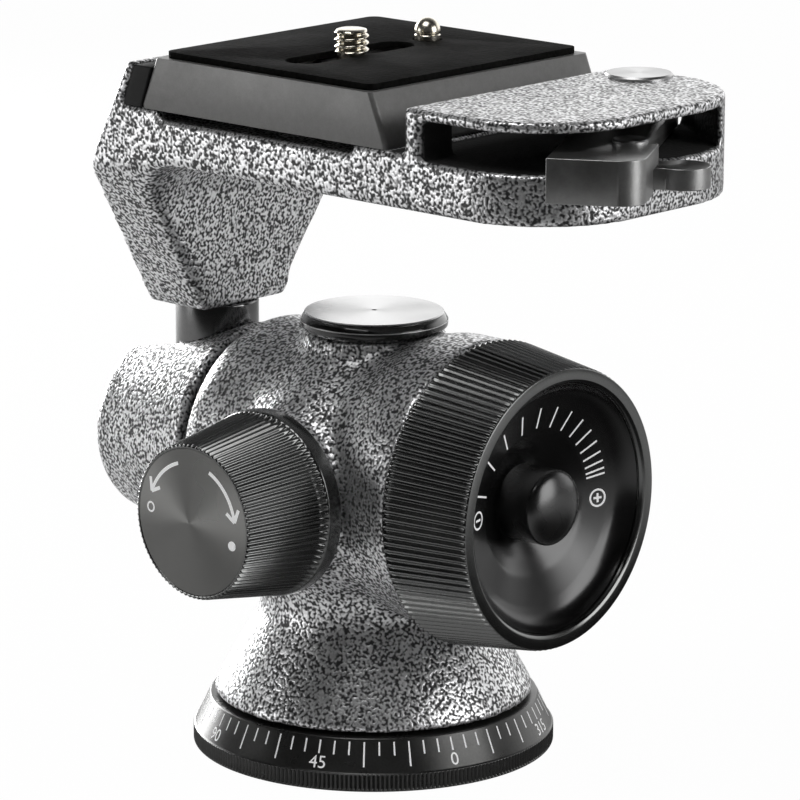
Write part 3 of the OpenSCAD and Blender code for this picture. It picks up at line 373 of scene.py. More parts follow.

# %% [markdown]
# The castings wear a hammered lacquer: bright flakes of metal pulled apart by dark worm-like veins,
# about a millimetre from vein to vein. Sprayed lacquer makes this pattern by itself as it dries.
# A single octave of noise, cut through its middle, has just these connected worms, so the veins are
# where the noise is low, and the flakes stand a little proud of them and catch the light.
# The slot for the lever and the gap beside the cap are blackened as painted shade: a number on their points
# says so.

# %% Hammered lacquer
hammertone = bpy.data.materials.new("hammertone")
hammertone.use_nodes = True
tree = hammertone.node_tree
shader = tree.nodes["Principled BSDF"]
where = add(tree, "TexCoord")
worms = add(tree, "TexNoise")
worms.inputs["Scale"].default_value = 1750
worms.inputs["Detail"].default_value = 0.0
worms.inputs["Distortion"].default_value = 0.25
cut = add(tree, "ValToRGB")
cut.color_ramp.interpolation = "EASE"
cut.color_ramp.elements[0].position = 0.32
cut.color_ramp.elements[1].position = 0.67
mottle = use(tree, grain, Scale=2600.0)
flake = blend(tree, mottle.outputs["Fine"], (0.84, 0.84, 0.85), (0.98, 0.98, 0.99))
lift = add(tree, "Bump")
lift.inputs["Strength"].default_value = 0.5
lift.inputs["Distance"].default_value = 0.0002
# Painted shade: where this number is 1, the lacquer turns black, rough and not metallic.
painted_shade = add(tree, "Attribute", attribute_name="painted_shade")
lacquer = blend(tree, cut.outputs["Color"], (0.022, 0.022, 0.023), flake)
join(tree, (where.outputs["Object"], worms.inputs["Vector"]), (worms.outputs["Fac"], cut.inputs[0]),
     (blend(tree, painted_shade.outputs["Fac"], lacquer, (0.006, 0.006, 0.006)), shader.inputs["Base Color"]),
     (worms.outputs["Fac"], lift.inputs["Height"]), (lift.outputs[0], shader.inputs["Normal"]))
rough = add(tree, "Math", operation="MAXIMUM")
join(tree, (spread(tree, mottle.outputs["Broad"], 0.34, 0.42), rough.inputs[0]),
     (painted_shade.outputs["Fac"], rough.inputs[1]),
     (rough.outputs[0], shader.inputs["Roughness"]))
coated = add(tree, "Math", operation="SUBTRACT", use_clamp=True)
join(tree, (cut.outputs["Color"], coated.inputs[0]), (painted_shade.outputs["Fac"], coated.inputs[1]),
     (coated.outputs[0], shader.inputs["Metallic"]))
print("lacquer: veins about", round(1000 / worms.inputs["Scale"].default_value * 1.6, 2), "mm apart")

# %% [markdown]
# A lathe makes most of this head, so most pieces are one curve spun about an axis.
# The surface is a function of two numbers, the angle round the axis and the place along the curve.
# numpy works out the whole grid of points at once, and the quads come from the grid's own numbering.
# The UV map keeps the two numbers, so that lathe lines and the pull of a highlight run round the piece.

# %% Helpers for turned pieces
AXES = {"x": ((0, 1, 0), (0, 0, 1), (1, 0, 0)), "y": ((0, 0, 1), (1, 0, 0), (0, 1, 0)),
        "z": ((1, 0, 0), (0, 1, 0), (0, 0, 1))}
BODY_OF = {n: b for b, ns in frame["record"]["behaviour"]["bodies"].items() for n in ns}
MERGE = 2e-6


def mark_edges(mesh):
    """Edge number of a point = how far the faces turn outwards at the edges that meet there,
    as a share of 70 degrees."""
    def take(items, name, kind, width=1):
        data = np.empty(len(items) * width, kind)
        items.foreach_get(name, data)
        return data.reshape(-1, width) if width > 1 else data
    of_edge = take(mesh.loops, "edge_index", np.int32)
    face = np.repeat(np.arange(len(mesh.polygons)), take(mesh.polygons, "loop_total", np.int32))
    order = np.argsort(of_edge, kind="stable")
    pair = np.flatnonzero(of_edge[order][1:] == of_edge[order][:-1])
    one, two = face[order][pair], face[order][pair + 1]
    normal = take(mesh.polygons, "normal", np.float32, 3)
    centre = take(mesh.polygons, "center", np.float32, 3)
    turn = np.arccos(np.clip((normal[one] * normal[two]).sum(1), -1, 1))
    turn[(normal[one] * (centre[two] - centre[one])).sum(1) > 0] = 0
    ends = take(mesh.edges, "vertices", np.int32, 2)[of_edge[order][pair]]
    value = np.zeros(len(mesh.vertices))
    np.add.at(value, ends[:, 0], turn)
    np.add.at(value, ends[:, 1], turn)
    store = mesh.attributes.new("edge", "FLOAT", "POINT")
    store.data.foreach_set("value", np.clip(value / math.radians(70), 0, 1).astype(np.float32))


def place_piece(mesh, name, material, body, stands_for=(), sharp=40):
    """Makes the object, smooths it except at edges sharper than the angle, and lets it ride on its body."""
    mesh.shade_smooth()
    mesh.set_sharp_from_angle(angle=math.radians(sharp))
    mesh.materials.clear()
    mesh.materials.append(material)
    mark_edges(mesh)
    obj = bpy.data.objects.new(name, mesh)
    bpy.context.scene.collection.objects.link(obj)
    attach(obj, body)
    if stands_for:
        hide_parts(*stands_for)
    return obj


def edited(mesh, *changes):
    """Opens a mesh for editing, makes each change in turn and writes the mesh back."""
    work = bmesh.new()
    work.from_mesh(mesh)
    for change in changes:
        change(work)
    work.to_mesh(mesh)
    work.free()
    return mesh


def merge_points(work):
    """Merges points that fall together, as at a pole."""
    bmesh.ops.remove_doubles(work, verts=work.verts, dist=MERGE)


def face_out(work):
    """Turns every face outwards."""
    bmesh.ops.recalc_face_normals(work, faces=work.faces)


def make_whole(work):
    """Joins faces that lie in one plane."""
    bmesh.ops.dissolve_limit(work, angle_limit=math.radians(0.8), verts=work.verts, edges=work.edges)


def grid_mesh(name, points, round_v=False):
    """Quads between neighbours of a grid of points in mm; the first way always closes on itself."""
    n, m = points.shape[:2]
    i, j = np.meshgrid(np.arange(n), np.arange(m if round_v else m - 1), indexing="ij")
    near, far = i * m, (i + 1) % n * m
    after = (j + 1) % m
    quads = np.stack([near + j, far + j, far + after, near + after], -1).reshape(-1, 4)
    mesh = bpy.data.meshes.new(name)
    mesh.from_pydata(points.reshape(-1, 3) * MM, [], quads.tolist())
    u = np.stack([i, i + 1, i + 1, i], -1) / n
    v = np.stack([j, j, j + 1, j + 1], -1) / (m - 1)
    mesh.uv_layers.new(name="way").data.foreach_set("uv", np.stack([u, v], -1).ravel().astype(np.float32))
    return edited(mesh, merge_points, face_out)


def eased(profile, radius=0.3, steps=4, ring=False):
    """Each corner becomes a parabola from one side to the other, which begins at the radius from it."""
    p = np.array(profile, float)
    before, after = np.roll(p, 1, 0), np.roll(p, -1, 0)
    reach = [np.minimum(radius, 0.45 * np.linalg.norm(q - p, axis=1))[:, None] for q in (before, after)]
    start, end = [p + (q - p) / np.maximum(np.linalg.norm(q - p, axis=1), 1e-9)[:, None] * r
                  for q, r in zip((before, after), reach)]
    s = np.linspace(0, 1, steps)[None, :, None]
    curve = (1 - s) ** 2 * start[:, None] + 2 * s * (1 - s) * p[:, None] + s ** 2 * end[:, None]
    if ring:
        return curve.reshape(-1, 2)
    return np.vstack([p[:1], curve[1:-1].reshape(-1, 2), p[-1:]])


def spun(profile, axis="z", centre=(0, 0, 0), steps=160, ripple=None):
    """Point(t, k) = centre + (r_k + ripple) (cos t, sin t) across the axis + h_k along it."""
    r, h = np.asarray(profile, float).T
    t = np.linspace(0, 2 * np.pi, steps, endpoint=False)[:, None]
    radius = r[None, :] + (ripple(t, r[None, :], h[None, :]) if ripple else 0)
    across, up, along = np.array(AXES[axis], float)
    return (np.array(centre, float) + (radius * np.cos(t))[..., None] * across
            + (radius * np.sin(t))[..., None] * up + (h[None, :] + 0 * t)[..., None] * along)


def knurl(count, depth, inside, start, end, run_out=0.5):
    """Radius falls by depth times a smooth comb of count teeth, outside one radius; it fades at both ends."""
    def ripple(t, r, h):
        comb = 0.5 - 0.5 * np.cos(count * t)
        fade = np.clip((h - start) / run_out, 0, 1) * np.clip((end - h) / run_out, 0, 1)
        return -depth * comb * fade * (r > inside)
    return ripple


def turned(name, profile, material, body, axis="z", centre=(0, 0, 0), steps=160, ripple=None, ring=False,
           stands_for=(), sharp=40):
    """A turned piece from its profile, put in place."""
    mesh = grid_mesh(name, spun(profile, axis, centre, steps, ripple), ring)
    obj = place_piece(mesh, name, material, body, stands_for, sharp)
    print("turned", name, len(mesh.polygons), "faces")
    return obj


def along(a, b, n):
    """n points on the straight line from a to b, so that a long side has stations for its knurl."""
    return [list(p) for p in np.linspace(a, b, n)]


# %% [markdown]
# The base is a black anodised ring with a fine straight knurl on its rim and a sloping scale above it.
# The knurl is cut into the mesh, because its teeth show against the white behind them.
# The scale counts degrees as the head pans: a mark every 5 degrees, a long one every 15, and a number
# every 45. Marks are thin bars laid on the cone, and the numbers are bent round it.

# %% Base ring with its knurl
rim = [[28.02, 0], [33.55, 0]] + along([33.9, 0.35], [33.9, 3.3], 7) + [[33.55, 3.45]]
rim += [[30.75, 9.2], [30.55, 9.3], [22.3, 9.3], [22.3, 4], [28.02, 4]]
turned("base_ring_turned", eased(rim, 0.15, 3, ring=True), black_anodised, "base", steps=1536,
       ripple=knurl(256, 0.36, 33.4, 0.25, 3.35, 0.3), ring=True, stands_for=["scale_ring"],
       sharp=50)

# %% Scale on the base
ZERO = math.radians(-20.2)
SCALE_R = 32.6


def painted(line, width, rise=0.03):
    """A painted line in a flat frame (u, v, height): a box section along a path, closed at each end."""
    line = np.array(line, float)
    way = np.gradient(line, axis=0)
    side = np.stack([-way[:, 1], way[:, 0]], 1) / np.linalg.norm(way, axis=1)[:, None] * width / 2
    low, high = np.full((len(line), 1), -0.02), np.full((len(line), 1), rise)
    around = ((line - side, low), (line + side, low), (line + side, high), (line - side, high))
    section = np.stack([np.hstack(part) for part in around], 1)
    n = len(line)
    i, j = np.meshgrid(np.arange(n - 1), np.arange(4), indexing="ij")
    here, after = i * 4, (i + 1) * 4
    quads = np.stack([here + j, here + (j + 1) % 4, after + (j + 1) % 4, after + j], -1).reshape(-1, 4)
    ends = [[0, 1, 2, 3], [4 * n - 1, 4 * n - 2, 4 * n - 3, 4 * n - 4]]
    return section.reshape(-1, 3), quads.tolist() + ends


def arc(centre, radius, start, end, n=28):
    """Points of an arc in the flat frame, angles in degrees."""
    t = np.radians(np.linspace(start, end, n))
    return np.array(centre, float) + radius * np.stack([np.cos(t), np.sin(t)], 1)


def gather(name, parts, lay, material, body):
    """Joins flat marks in one mesh, lays their points on a face of the object and puts the piece in place."""
    start = np.cumsum([0] + [len(p) for p, _ in parts])
    faces = [[i + s for i in f] for (_, fs), s in zip(parts, start) for f in fs]
    mesh = bpy.data.meshes.new(name)
    mesh.from_pydata(lay(*np.concatenate([p for p, _ in parts]).T) * MM, [], faces)
    obj = place_piece(edited(mesh, merge_points, face_out), name, material, body, sharp=30)
    print("marks", name, len(faces), "faces")
    return obj


def on_cone(u, v, height):
    """Lays a flat point on the sloping scale: u is the way round in mm at its radius, v the way down."""
    top, foot = np.array([30.75, 9.2]), np.array([33.55, 3.45])
    slope = (foot - top) / np.linalg.norm(foot - top)
    r = top[0] + slope[0] * v - slope[1] * height
    z = top[1] + slope[1] * v + slope[0] * height
    angle = ZERO + u / SCALE_R
    return np.stack([r * np.cos(angle), r * np.sin(angle), z], 1)


def numerals(text, size, thick):
    """Points and faces of plain numbers in a flat frame, from the built-in font, centred on their middle."""
    font = bpy.data.curves.new("numerals", "FONT")
    font.body, font.size, font.extrude = text, size, thick
    font.align_x, font.align_y = "CENTER", "CENTER"
    obj = bpy.data.objects.new("numerals", font)
    bpy.context.scene.collection.objects.link(obj)
    mesh = bpy.data.meshes.new_from_object(obj.evaluated_get(bpy.context.evaluated_depsgraph_get()))
    points = np.empty(len(mesh.vertices) * 3)
    mesh.vertices.foreach_get("co", points)
    faces = [list(p.vertices) for p in mesh.polygons]
    bpy.data.objects.remove(obj)
    return points.reshape(-1, 3), faces


scale_marks = []
for degree in range(0, 360, 5):
    u = -math.radians(degree) * SCALE_R
    long_mark = degree % 15 == 0 and degree % 45 != 0
    scale_marks.append(painted([[u, 0.55], [u, 5.15 if long_mark else 3.05]], 0.30))
    if degree % 45 == 0:
        flat, faces = numerals(str(degree), 3.3, 0.02)
        scale_marks.append((np.stack([u + flat[:, 0], 4.75 - flat[:, 1], flat[:, 2] + 0.01], 1), faces))
gather("base_scale", scale_marks, on_cone, glowing_white_ink, "base")

# %% [markdown]
# A tripod's screw goes into a brass bush under the base. Its thread is the standard three-eighths of an inch
# with sixteen turns to the inch, and it is cut into the wall of the bore as a helix.

# %% Threaded bush under the base
def thread(depth, pitch, start, end, inside=0.0, outside=100.0):
    """Radius falls by a rounded triangle wave of the height less the angle's share of one pitch: a helix.
    It is cut only where the profile's radius lies between inside and outside."""
    def ripple(t, r, h):
        phase = (h / pitch - t / (2 * np.pi)) % 1
        wave = np.clip(np.abs(2 * phase - 1) * 1.5 - 0.25, 0, 1)
        fade = np.clip((h - start) / (pitch * 0.5), 0, 1) * np.clip((end - h) / (pitch * 0.4), 0, 1)
        return -depth * wave * fade * (r > inside) * (r < outside)
    return ripple


bore = along([4.78, 0.05], [4.78, 8.95], 100)
bush = [[6.5, 9.0]] + along([6.5, 8.9], [6.5, 0.1], 3) + [[6.4, 0.0], [4.9, 0.0]] + bore + [[4.9, 9.0]]
turned("tripod_thread", bush, yellow_brass, "base", steps=72,
       ripple=thread(-0.42, 1.5875, -0.5, 9.5, outside=4.8), ring=True, stands_for=["tripod_bush"],
       sharp=60)

# %% [markdown]
# The housing, the cap and the arm are castings. Their solids already have the right shape, but a casting
# has no sharp inner corner anywhere: metal can't flow into one. A copy of each solid is therefore rebuilt
# on a fine grid of cells, which joins all its surfaces, and then relaxed, which rounds every edge a little.
# A turned surface couldn't give the places where barrel, neck and bosses run into each other.

# %% Castings
def merged_copy(node):
    """A copy of a solid's mesh whose loose triangles are joined at their points."""
    return edited(frame["nodes"][node].data.copy(), merge_points)


def worked(mesh, *steps):
    """Runs modifiers on a mesh and returns the finished mesh; each step is a kind and its settings."""
    obj = bpy.data.objects.new("work", mesh)
    bpy.context.scene.collection.objects.link(obj)
    for kind, settings in steps:
        modifier = obj.modifiers.new(kind.lower(), kind)
        for key, value in settings.items():
            setattr(modifier, key, value)
    done = bpy.data.meshes.new_from_object(obj.evaluated_get(bpy.context.evaluated_depsgraph_get()))
    bpy.data.objects.remove(obj)
    return done


def points_of(mesh):
    """All points of a mesh, in mm."""
    flat = np.empty(len(mesh.vertices) * 3, np.float32)
    mesh.vertices.foreach_get("co", flat)
    return flat.reshape(-1, 3).astype(float) / MM


def relax(mesh, share, passes):
    """In each pass a point moves towards the mean of its neighbours by half of its own share."""
    ends = np.empty(len(mesh.edges) * 2, np.int32)
    mesh.edges.foreach_get("vertices", ends)
    one, two = ends[0::2], ends[1::2]
    here, there = np.concatenate([one, two]), np.concatenate([two, one])
    p = points_of(mesh)
    count = np.bincount(here, minlength=len(p))[:, None]
    for _ in range(passes):
        mean = np.stack([np.bincount(here, p[there, k], len(p)) for k in range(3)], 1) / count
        p += 0.5 * np.reshape(share, (-1, 1)) * (mean - p)
    mesh.vertices.foreach_set("co", (p * MM).astype(np.float32).ravel())


def cast(node, name, cell, passes, soft=None):
    """A solid rebuilt on cells of one size in mm and relaxed; soft gives the points to relax further."""
    mesh = worked(merged_copy(node), ("REMESH", {"mode": "VOXEL", "voxel_size": cell * MM}))
    relax(mesh, np.ones(len(mesh.vertices)), passes)
    if soft:
        relax(mesh, soft(*points_of(mesh).T), 60)
    obj = place_piece(mesh, name, hammertone, BODY_OF[node], [node], 180)
    print("cast", name, 2 * len(mesh.polygons), "triangles")
    return obj


def between(value, low, high, fade):
    """1 between two limits, falling to 0 over the fade outside them."""
    return np.clip((value - low) / fade + 1, 0, 1) * np.clip((high - value) / fade + 1, 0, 1)


PAN = (0, 0, 51.2)


def boss_root(x, y, z):
    """The ring round the pan-lock boss, where it grows out of the barrel."""
    return between(np.hypot(x, z - PAN[2]), 17.5, 26, 2) * between(y, -23.5, -8, 2) * between(z, 30, 80, 3)


def arm_bend(x, y, z):
    """The inside of the arm's bend."""
    return between(x, -38, -20, 3) * between(z, 84, 107, 3)


housing_cast = cast("housing", "housing_cast", 0.62, 6, boss_root)
cap_cast = cast("ball_cap", "cap_cast", 0.50, 4)
arm_cast = cast("arm", "arm_cast", 0.58, 4, arm_bend)

# %% [markdown]
# The lever's slot is milled after casting. Its inner corner is drawn tight again, so that the lever can pass.
# The slot is painted black inside as shade, up to just short of the clamp's outline, and so is the gap beside
# the cap.

# %% Painted shade in the slot and the gap
def blacken(obj, share):
    """Stores how far each point is blackened as painted shade, from 0 to 1."""
    store = obj.data.attributes.new("painted_shade", "FLOAT", "POINT")
    store.data.foreach_set("value", np.asarray(share, np.float32))
    print("blackened on", obj.name, int((np.asarray(share) > 0.5).sum()), "points")


slot_start, slot_floor, slot_roof = 30, 119.3, 126.5
clamp_side, clamp_end = 29.5, 68.6
corner_x, corner_y, corner_r = 48.6, 9.5, 20
gap_start, gap_end, barrel_foot = -29.2, -27.9, 25

points = points_of(arm_cast.data)
rise = np.clip(points[:, 2] - slot_floor, 0, 1) * (points[:, 0] > slot_start)
points[:, 2] -= rise - rise ** 2
arm_cast.data.vertices.foreach_set("co", (points * MM).astype(np.float32).ravel())
x, y, z = points.T
within = (z > slot_floor - 0.1) & (z < slot_roof) & (x > slot_start)
inset = np.minimum(clamp_side - np.abs(y), clamp_end - x)
corner = (x > corner_x) & (np.abs(y) > corner_y)
inset[corner] = corner_r - np.hypot(x - corner_x, np.abs(y) - corner_y)[corner]
# The slot's inside is painted black as shade, fading out near the clamp's outline.
blacken(arm_cast, within * np.clip((inset - 0.3) / 0.6, 0, 1))
# The gap beside the cap is painted black as shade on both the housing and the cap.
for half in (housing_cast, cap_cast):
    x, _, z = points_of(half.data).T
    blacken(half, between(x, gap_start, gap_end, 0.4) * (z > barrel_foot))

# %% [markdown]
# Plate, lever, catch and lining are cut from the solid and have crisp edges with a small broken corner.
# The corner is what the eye sees: it draws a thin bright line along each edge.
# A merged copy of each solid gets a narrow rounded bevel on its sharp edges only.

# %% Milled pieces
def milled(node, name, material, width, angle=32):
    """A solid with its flat faces made whole and a rounded bevel of one width in mm on its sharp edges."""
    mesh = edited(merged_copy(node), make_whole)
    mesh = worked(mesh, ("BEVEL", {"width": width * MM, "segments": 3, "limit_method": "ANGLE",
                                   "angle_limit": math.radians(angle), "use_clamp_overlap": True}),
                  ("WEIGHTED_NORMAL", {"keep_sharp": True}))
    obj = place_piece(mesh, name, material, BODY_OF[node], [node], 60)
    print("milled", name, len(mesh.polygons), "faces")
    return obj


milled("plate", "plate_milled", plate_grey, 0.45)
milled("pad", "pad_rubber", pad_black, 0.25)
milled("jaw_liner", "jaw_lining", jaw_black, 0.3)
milled("lever", "lever_milled", satin_dark, 0.5)
milled("safety_catch", "catch_milled", satin_dark, 0.5)

# %% [markdown]
# The small disc on top covers the pan axis. Its face is spun bright, with a centre mark of the tool,
# and its edge is black with one bright line where the turning has cut through the black.
# Face and edge are two pieces, because they are two finishes.

# %% Disc over the pan axis
edge_profile = [[0, 75.9], [10.4, 75.9], [10.4, 78.9], [12.7, 78.9], [13.7, 79.8], [13.7, 80.9], [13.2, 81.7],
                [12.7, 82.1], [0, 82.1]]
turned("disc_edge", eased(edge_profile, 0.25), polished_black, "housing", stands_for=["top_disc"])
face = [[0, 82.0], [12.75, 82.0], [12.95, 82.2], [12.75, 82.4]] + along([12.4, 82.4], [0.55, 82.4], 24)
face += [[0.5, 82.34], [0.2, 82.1], [0, 82.05]]
turned("disc_face", face, spun_bright, "housing")
line = [[13.5, 80.6], [13.76, 80.7], [13.76, 80.85], [13.5, 80.95]]
turned("disc_line", eased(line, 0.05, 3, ring=True), satin_steel, "housing", ring=True)

# %% [markdown]
# The stem is a rod of dark chrome that rises from the ball to the arm. Under it the ball is ground steel.
# Where cap and barrel meet there is a narrow gap, with a black ring at its bottom as painted shade that keeps
# the gap dark.

# %% Stem, ball and the gap's shade ring
STEM = (-40.8, 0, 0)
TILT = (0, 0, 52.6)
BALL_R = 14
rod = [[0, 45.6], [5, 45.6], [5, 64.0], [7.6, 64.0], [7.95, 64.35], [7.95, 78.4], [7.7, 78.7], [4, 78.7],
       [4, 90.7], [0, 90.7]]
turned("stem_polished", eased(rod, 0.2, 3), dark_chrome, "ball", centre=STEM, steps=96, stands_for=["stem"])
tilt = np.radians(np.linspace(-90, 52.2, 48))
shell = np.stack([BALL_R * np.cos(tilt), TILT[2] + BALL_R * np.sin(tilt)], 1)
turned("ball_ground", np.vstack([shell, [[8.45, 63.6], [0, 63.6]]]), turned_steel, "ball", centre=STEM,
       steps=128, stands_for=["ball"])
# A black ring stands as painted shade at the bottom of the gap between cap and barrel.
shade_ring = [[18.6, -29.6], [19.5, -29.6], [19.9, -28.9], [19.5, -28.2], [18.6, -28.2]]
turned("gap_shade_ring", eased(shade_ring, 0.3, 4, ring=True), jaw_black, "cap", "x", TILT, ring=True)

# %% [markdown]
# The pan-lock knob is a black cone with straight cuts. Its face is a spun metal disc with two white arrows.
# The spun face shows two bright fans: a highlight on turned metal is pulled across the lathe lines.
# Words on the face aren't copied. A ring and a dot stand for open and closed, and the rest stays bare.

# %% Pan-lock knob
sleeve = [[2.02, -46.7], [13.46, -46.7], [13.46, -47.8], [13.9, -47.9]]
sleeve += along([14.25, -47.6], [17.0, -30.3], 12)
sleeve += [[17.2, -29.9], [17.2, -27.1], [16.6, -26.5], [4.02, -26.5], [4.02, -41], [2.02, -41]]
turned("pan_grip", eased(sleeve, 0.12, 3, ring=True), knob_black, "pan_knob", "y", PAN, 1008,
       knurl(84, 0.55, 13.8, -48.2, -30.2), ring=True, stands_for=["pan_knob"], sharp=55)
DIAL_R, DIAL_Y, DIAL_RISE = 13.43, -48.58, 0.83
dial = [[0, -46.7], [DIAL_R, -46.7]] + along([DIAL_R, DIAL_Y + DIAL_RISE], [0.12, DIAL_Y], 30) + [[0, -48.55]]
turned("pan_dial", dial, spun_dark, "pan_knob", "y", PAN, 192, stands_for=["pan_face"])


def on_dial(u, v, height):
    """Lays a flat point on the slightly domed pan dial: u runs along +X and v along +Z."""
    return np.stack([u, DIAL_Y + DIAL_RISE * np.hypot(u, v) / DIAL_R - height, PAN[2] + v], 1)


def curved_arrow(radius, start, end, width):
    """An arc round the middle of a face with a two-stroke head at its end."""
    line = arc((0, 0), radius, start, end)
    back = end - math.copysign(math.degrees(2.0 / radius), end - start)
    barbs = [arc((0, 0), radius + step, back, back, 1)[0] for step in (-1.5, 1.5)]
    return [painted(line, width)] + [painted([barb, line[-1]], width) for barb in barbs]


marks = curved_arrow(10.9, 108, 158, 0.66) + curved_arrow(10.9, 66, 10, 0.66)
marks.append(painted(arc(arc((0, 0), 10.4, 174, 174, 1)[0], 0.85, 0, 360), 0.34))
marks.append(painted(arc(arc((0, 0), 10.4, -14, -14, 1)[0], 0.45, 0, 360), 0.88))
gather("pan_marks", marks, on_dial, glowing_white_ink, "pan_knob")

# %% [markdown]
# The tilt-lock knob is the largest turned piece: a straight-cut grip round a deep dish, with a domed hub
# in a bowl at the bottom. The dish carries a fan of marks that draw closer towards the plus sign.
# Grip, dish and hub are separate pieces, for their finishes.

# %% Tilt-lock knob
grip = [[22.2, 27.6], [27.6, 27.6]] + along([28.35, 28.3], [26.0, 45.3], 14)
grip += [[25.7, 45.85], [23.7, 45.9], [23.2, 45.6], [22.9, 45.0], [22.9, 42], [22.2, 34]]
turned("tilt_grip", eased(grip, 0.12, 3, ring=True), knob_black, "tilt_knob", "x", TILT, 1428,
       knurl(119, 0.62, 25.0, 27.75, 45.75), ring=True, stands_for=["tilt_knob"], sharp=55)
SLOPE_R, SLOPE_X, SLOPE = 13.9, 39.9, 0.2816
dish = [[5.02, 27.6], [22.2, 27.6], [22.2, 39], [22.88, 44.9]]
dish += [[22.5, 44.1], [21.9, 43.2], [21.1, 42.4], [20.2, 41.8]] + along([18.8, 41.28], [SLOPE_R, SLOPE_X], 8)
dish += [[13.3, 39.7], [12.5, 39.3], [10.6, 38.4], [8.6, 37.2], [7.05, 36.5]]
dish += [[2.02, 36.5], [2.02, 33.5], [5.02, 33.5]]
turned("tilt_dish", eased(dish, 0.6, 5, ring=True), dish_black, "tilt_knob", "x", TILT, 192, ring=True)
HUB_R, HUB_X, HUB_RISE = 7.0, 43.5, 2.6
lift_angle = np.radians(np.linspace(0, 90, 24))
dome = np.stack([HUB_R * np.cos(lift_angle) ** 0.9, HUB_X + HUB_RISE * np.sin(lift_angle)], 1)
dome = np.vstack([[[4.3, 36.5], [HUB_R, 36.5]], dome, [[0, 39.4], [4.3, 39.4]]])
turned("tilt_dome", dome, dome_black, "tilt_knob", "x", TILT, 128, ring=True, stands_for=["tilt_hub"])


def on_dish(u, v, height):
    """Lays a flat point on the slope of the dish: u runs along +Y and v along +Z."""
    return np.stack([SLOPE_X + SLOPE * (np.hypot(u, v) - SLOPE_R) + height, u, TILT[2] + v], 1)


marks = []
for k in range(14):
    angle = 8.6 + 2.6 * k + 0.72 * k ** 2
    marks.append(painted([arc((0, 0), r, angle, angle, 1)[0] for r in (14.1, 18.0)], 0.34))
for angle in (-6.5, 179.2):
    spot = arc((0, 0), 16.5, angle, angle, 1)[0]
    marks.append(painted(arc(spot, 1.55, 0, 360), 0.36))
    marks.append(painted([spot - [0.85, 0], spot + [0.85, 0]], 0.42))
    if angle < 0:
        marks.append(painted([spot - [0, 0.85], spot + [0, 0.85]], 0.42))
gather("tilt_marks", marks, on_dish, glowing_white_ink, "tilt_knob")

# %% [markdown]
# The camera screw has a standard quarter-inch thread, twenty turns to the inch, cut as a helix.
# Beside it stands the spring-loaded pin with a round end. Both are steel with a warm tint.
# The lever's pivot and the catch's pin show as flat bright heads.

# %% Screw, pin and pin heads
screw = [[0, 120.8], [5.1, 120.8], [5.5, 121.2], [5.5, 125.3], [2.6, 125.3], [2.6, 131.2]]
screw += along([3.15, 131.4], [3.15, 135.0], 60) + [[2.75, 135.35], [2.3, 135.5], [0, 135.5]]
turned("camera_thread", screw, warm_steel, "camera_screw", centre=(-0.6, -5.5, 0), steps=72,
       ripple=thread(0.62, 1.27, 131.2, 135.4, inside=3.0), stands_for=["camera_screw"],
       sharp=60)
PIN = (-0.6, 15, 0)
PIN_R = 2.4
tip = np.radians(np.linspace(0, 90, 16))
pin = [[1.5, 125.4], [2.9, 125.4], [2.9, 126.6], [PIN_R, 126.6]]
pin += [[PIN_R, 131.9], [2.2, 132.1], [2.2, 132.4], [PIN_R, 132.6]]
round_end = np.stack([PIN_R * np.cos(tip), 132.7 + PIN_R * np.sin(tip)], 1)
pin = np.vstack([pin, round_end, [[0, 132.1], [1.5, 132.1]]])
turned("video_tip", pin, warm_steel, "video_pin", centre=PIN, steps=72, ring=True, stands_for=["video_pin"])
head = [[0, 112.2], [4, 112.2], [4, 128.4], [6.2, 128.4], [6.2, 128.75], [5.85, 129.1]]
turned("pivot_head", head + along([5.6, 129.1], [0, 129.1], 10), satin_steel, "arm", centre=(43.4, 23.1, 0),
       steps=96, stands_for=["pivot_pin"])
lo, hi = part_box("catch_pin")
catch_at = [(lo[0] + hi[0]) / 2 / MM, (lo[1] + hi[1]) / 2 / MM, 0]
low, high = lo[2] / MM, hi[2] / MM
head = [[0, low], [2, low], [2, high - 0.6], [3.2, high - 0.6], [3.2, high - 0.25], [2.95, high]]
turned("catch_head", head + along([2.8, high], [0, high], 8), satin_steel, "lever", centre=catch_at, steps=72,
       stands_for=["catch_pin"])

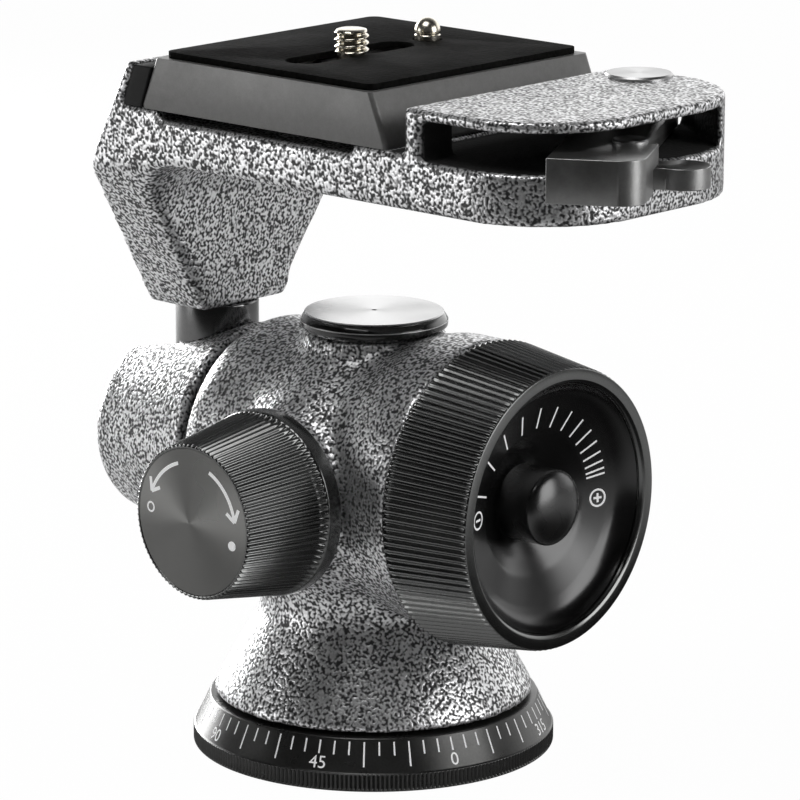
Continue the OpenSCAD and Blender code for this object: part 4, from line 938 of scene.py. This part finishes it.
# %% [markdown]
# Three springs are wound from wire: one lifts the small pin, one opens the lever and one holds the catch.
# The pin's spring stands on the plug below it and gets a mesh of its own; on the real head it shortens
# towards its foot as the pin is pressed in.

# %% Wound springs
def coil(node, name, wire, turns):
    """A wire wound on a helix: point(b, s) lies at radius R + w cos b round the axis, at the angle
    2 pi turns s, and w sin b above the helix; w shrinks to nothing at both ends, which closes the wire."""
    lo, hi = np.array(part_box(node)) / MM
    s = np.linspace(0, 1, 24 * turns + 1)[None, :]
    b = np.linspace(0, 2 * np.pi, 10, endpoint=False)[:, None]
    w = wire / 2 * np.clip(np.minimum(s, 1 - s) * 24 * turns, 0, 1)
    radius = (hi[0] - lo[0] - wire) / 2 + w * np.cos(b)
    turn = 2 * np.pi * turns * s
    height = lo[2] + wire / 2 + (hi[2] - lo[2] - wire) * s + w * np.sin(b)
    x, y = (lo[0] + hi[0]) / 2, (lo[1] + hi[1]) / 2
    points = np.stack([x + radius * np.cos(turn), y + radius * np.sin(turn), height], -1)
    print("spring", name, round(float(hi[2] - lo[2]), 1), "mm long,", turns, "turns")
    return place_piece(grid_mesh(name, points), name, turned_steel, BODY_OF[node], [node], 60)


coil("lever_spring", "lever_coil", 1.4, 2)
coil("catch_spring", "catch_coil", 0.7, 2)
pin_coil = coil("pin_spring", "pin_coil", 0.4, 10)
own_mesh(pin_coil)

# %% [markdown]
# Everything else is inside the head or under it, and its solid already has the right shape.
# Each of these pieces only takes the finish of its material, so that it looks right when a view from below
# or a moved joint shows it.

# %% Finishes of the inner pieces
INNER = {
    base_metal: ["base_plate", "base_screws"],
    yellow_brass: ["pan_bush", "pan_screw_bush", "tilt_bush", "piston"],
    pale_nylon: ["slip_washer", "ball_liner"],
    turned_steel: ["pan_spindle", "spring_washer", "spindle_nut", "brake_pin", "pan_screw", "pan_knob_screw",
                   "tilt_screw", "tilt_knob_screw", "disc_springs", "thrust_disc", "cap_ring", "pin_plug",
                   "screw_clip"],
}
dressed = 0
for inner_finish, nodes in INNER.items():
    for node in nodes:
        solid = frame["nodes"][node]
        solid.data.materials.clear()
        solid.data.materials.append(inner_finish)
        dressed += 1
print("inner pieces:", dressed)
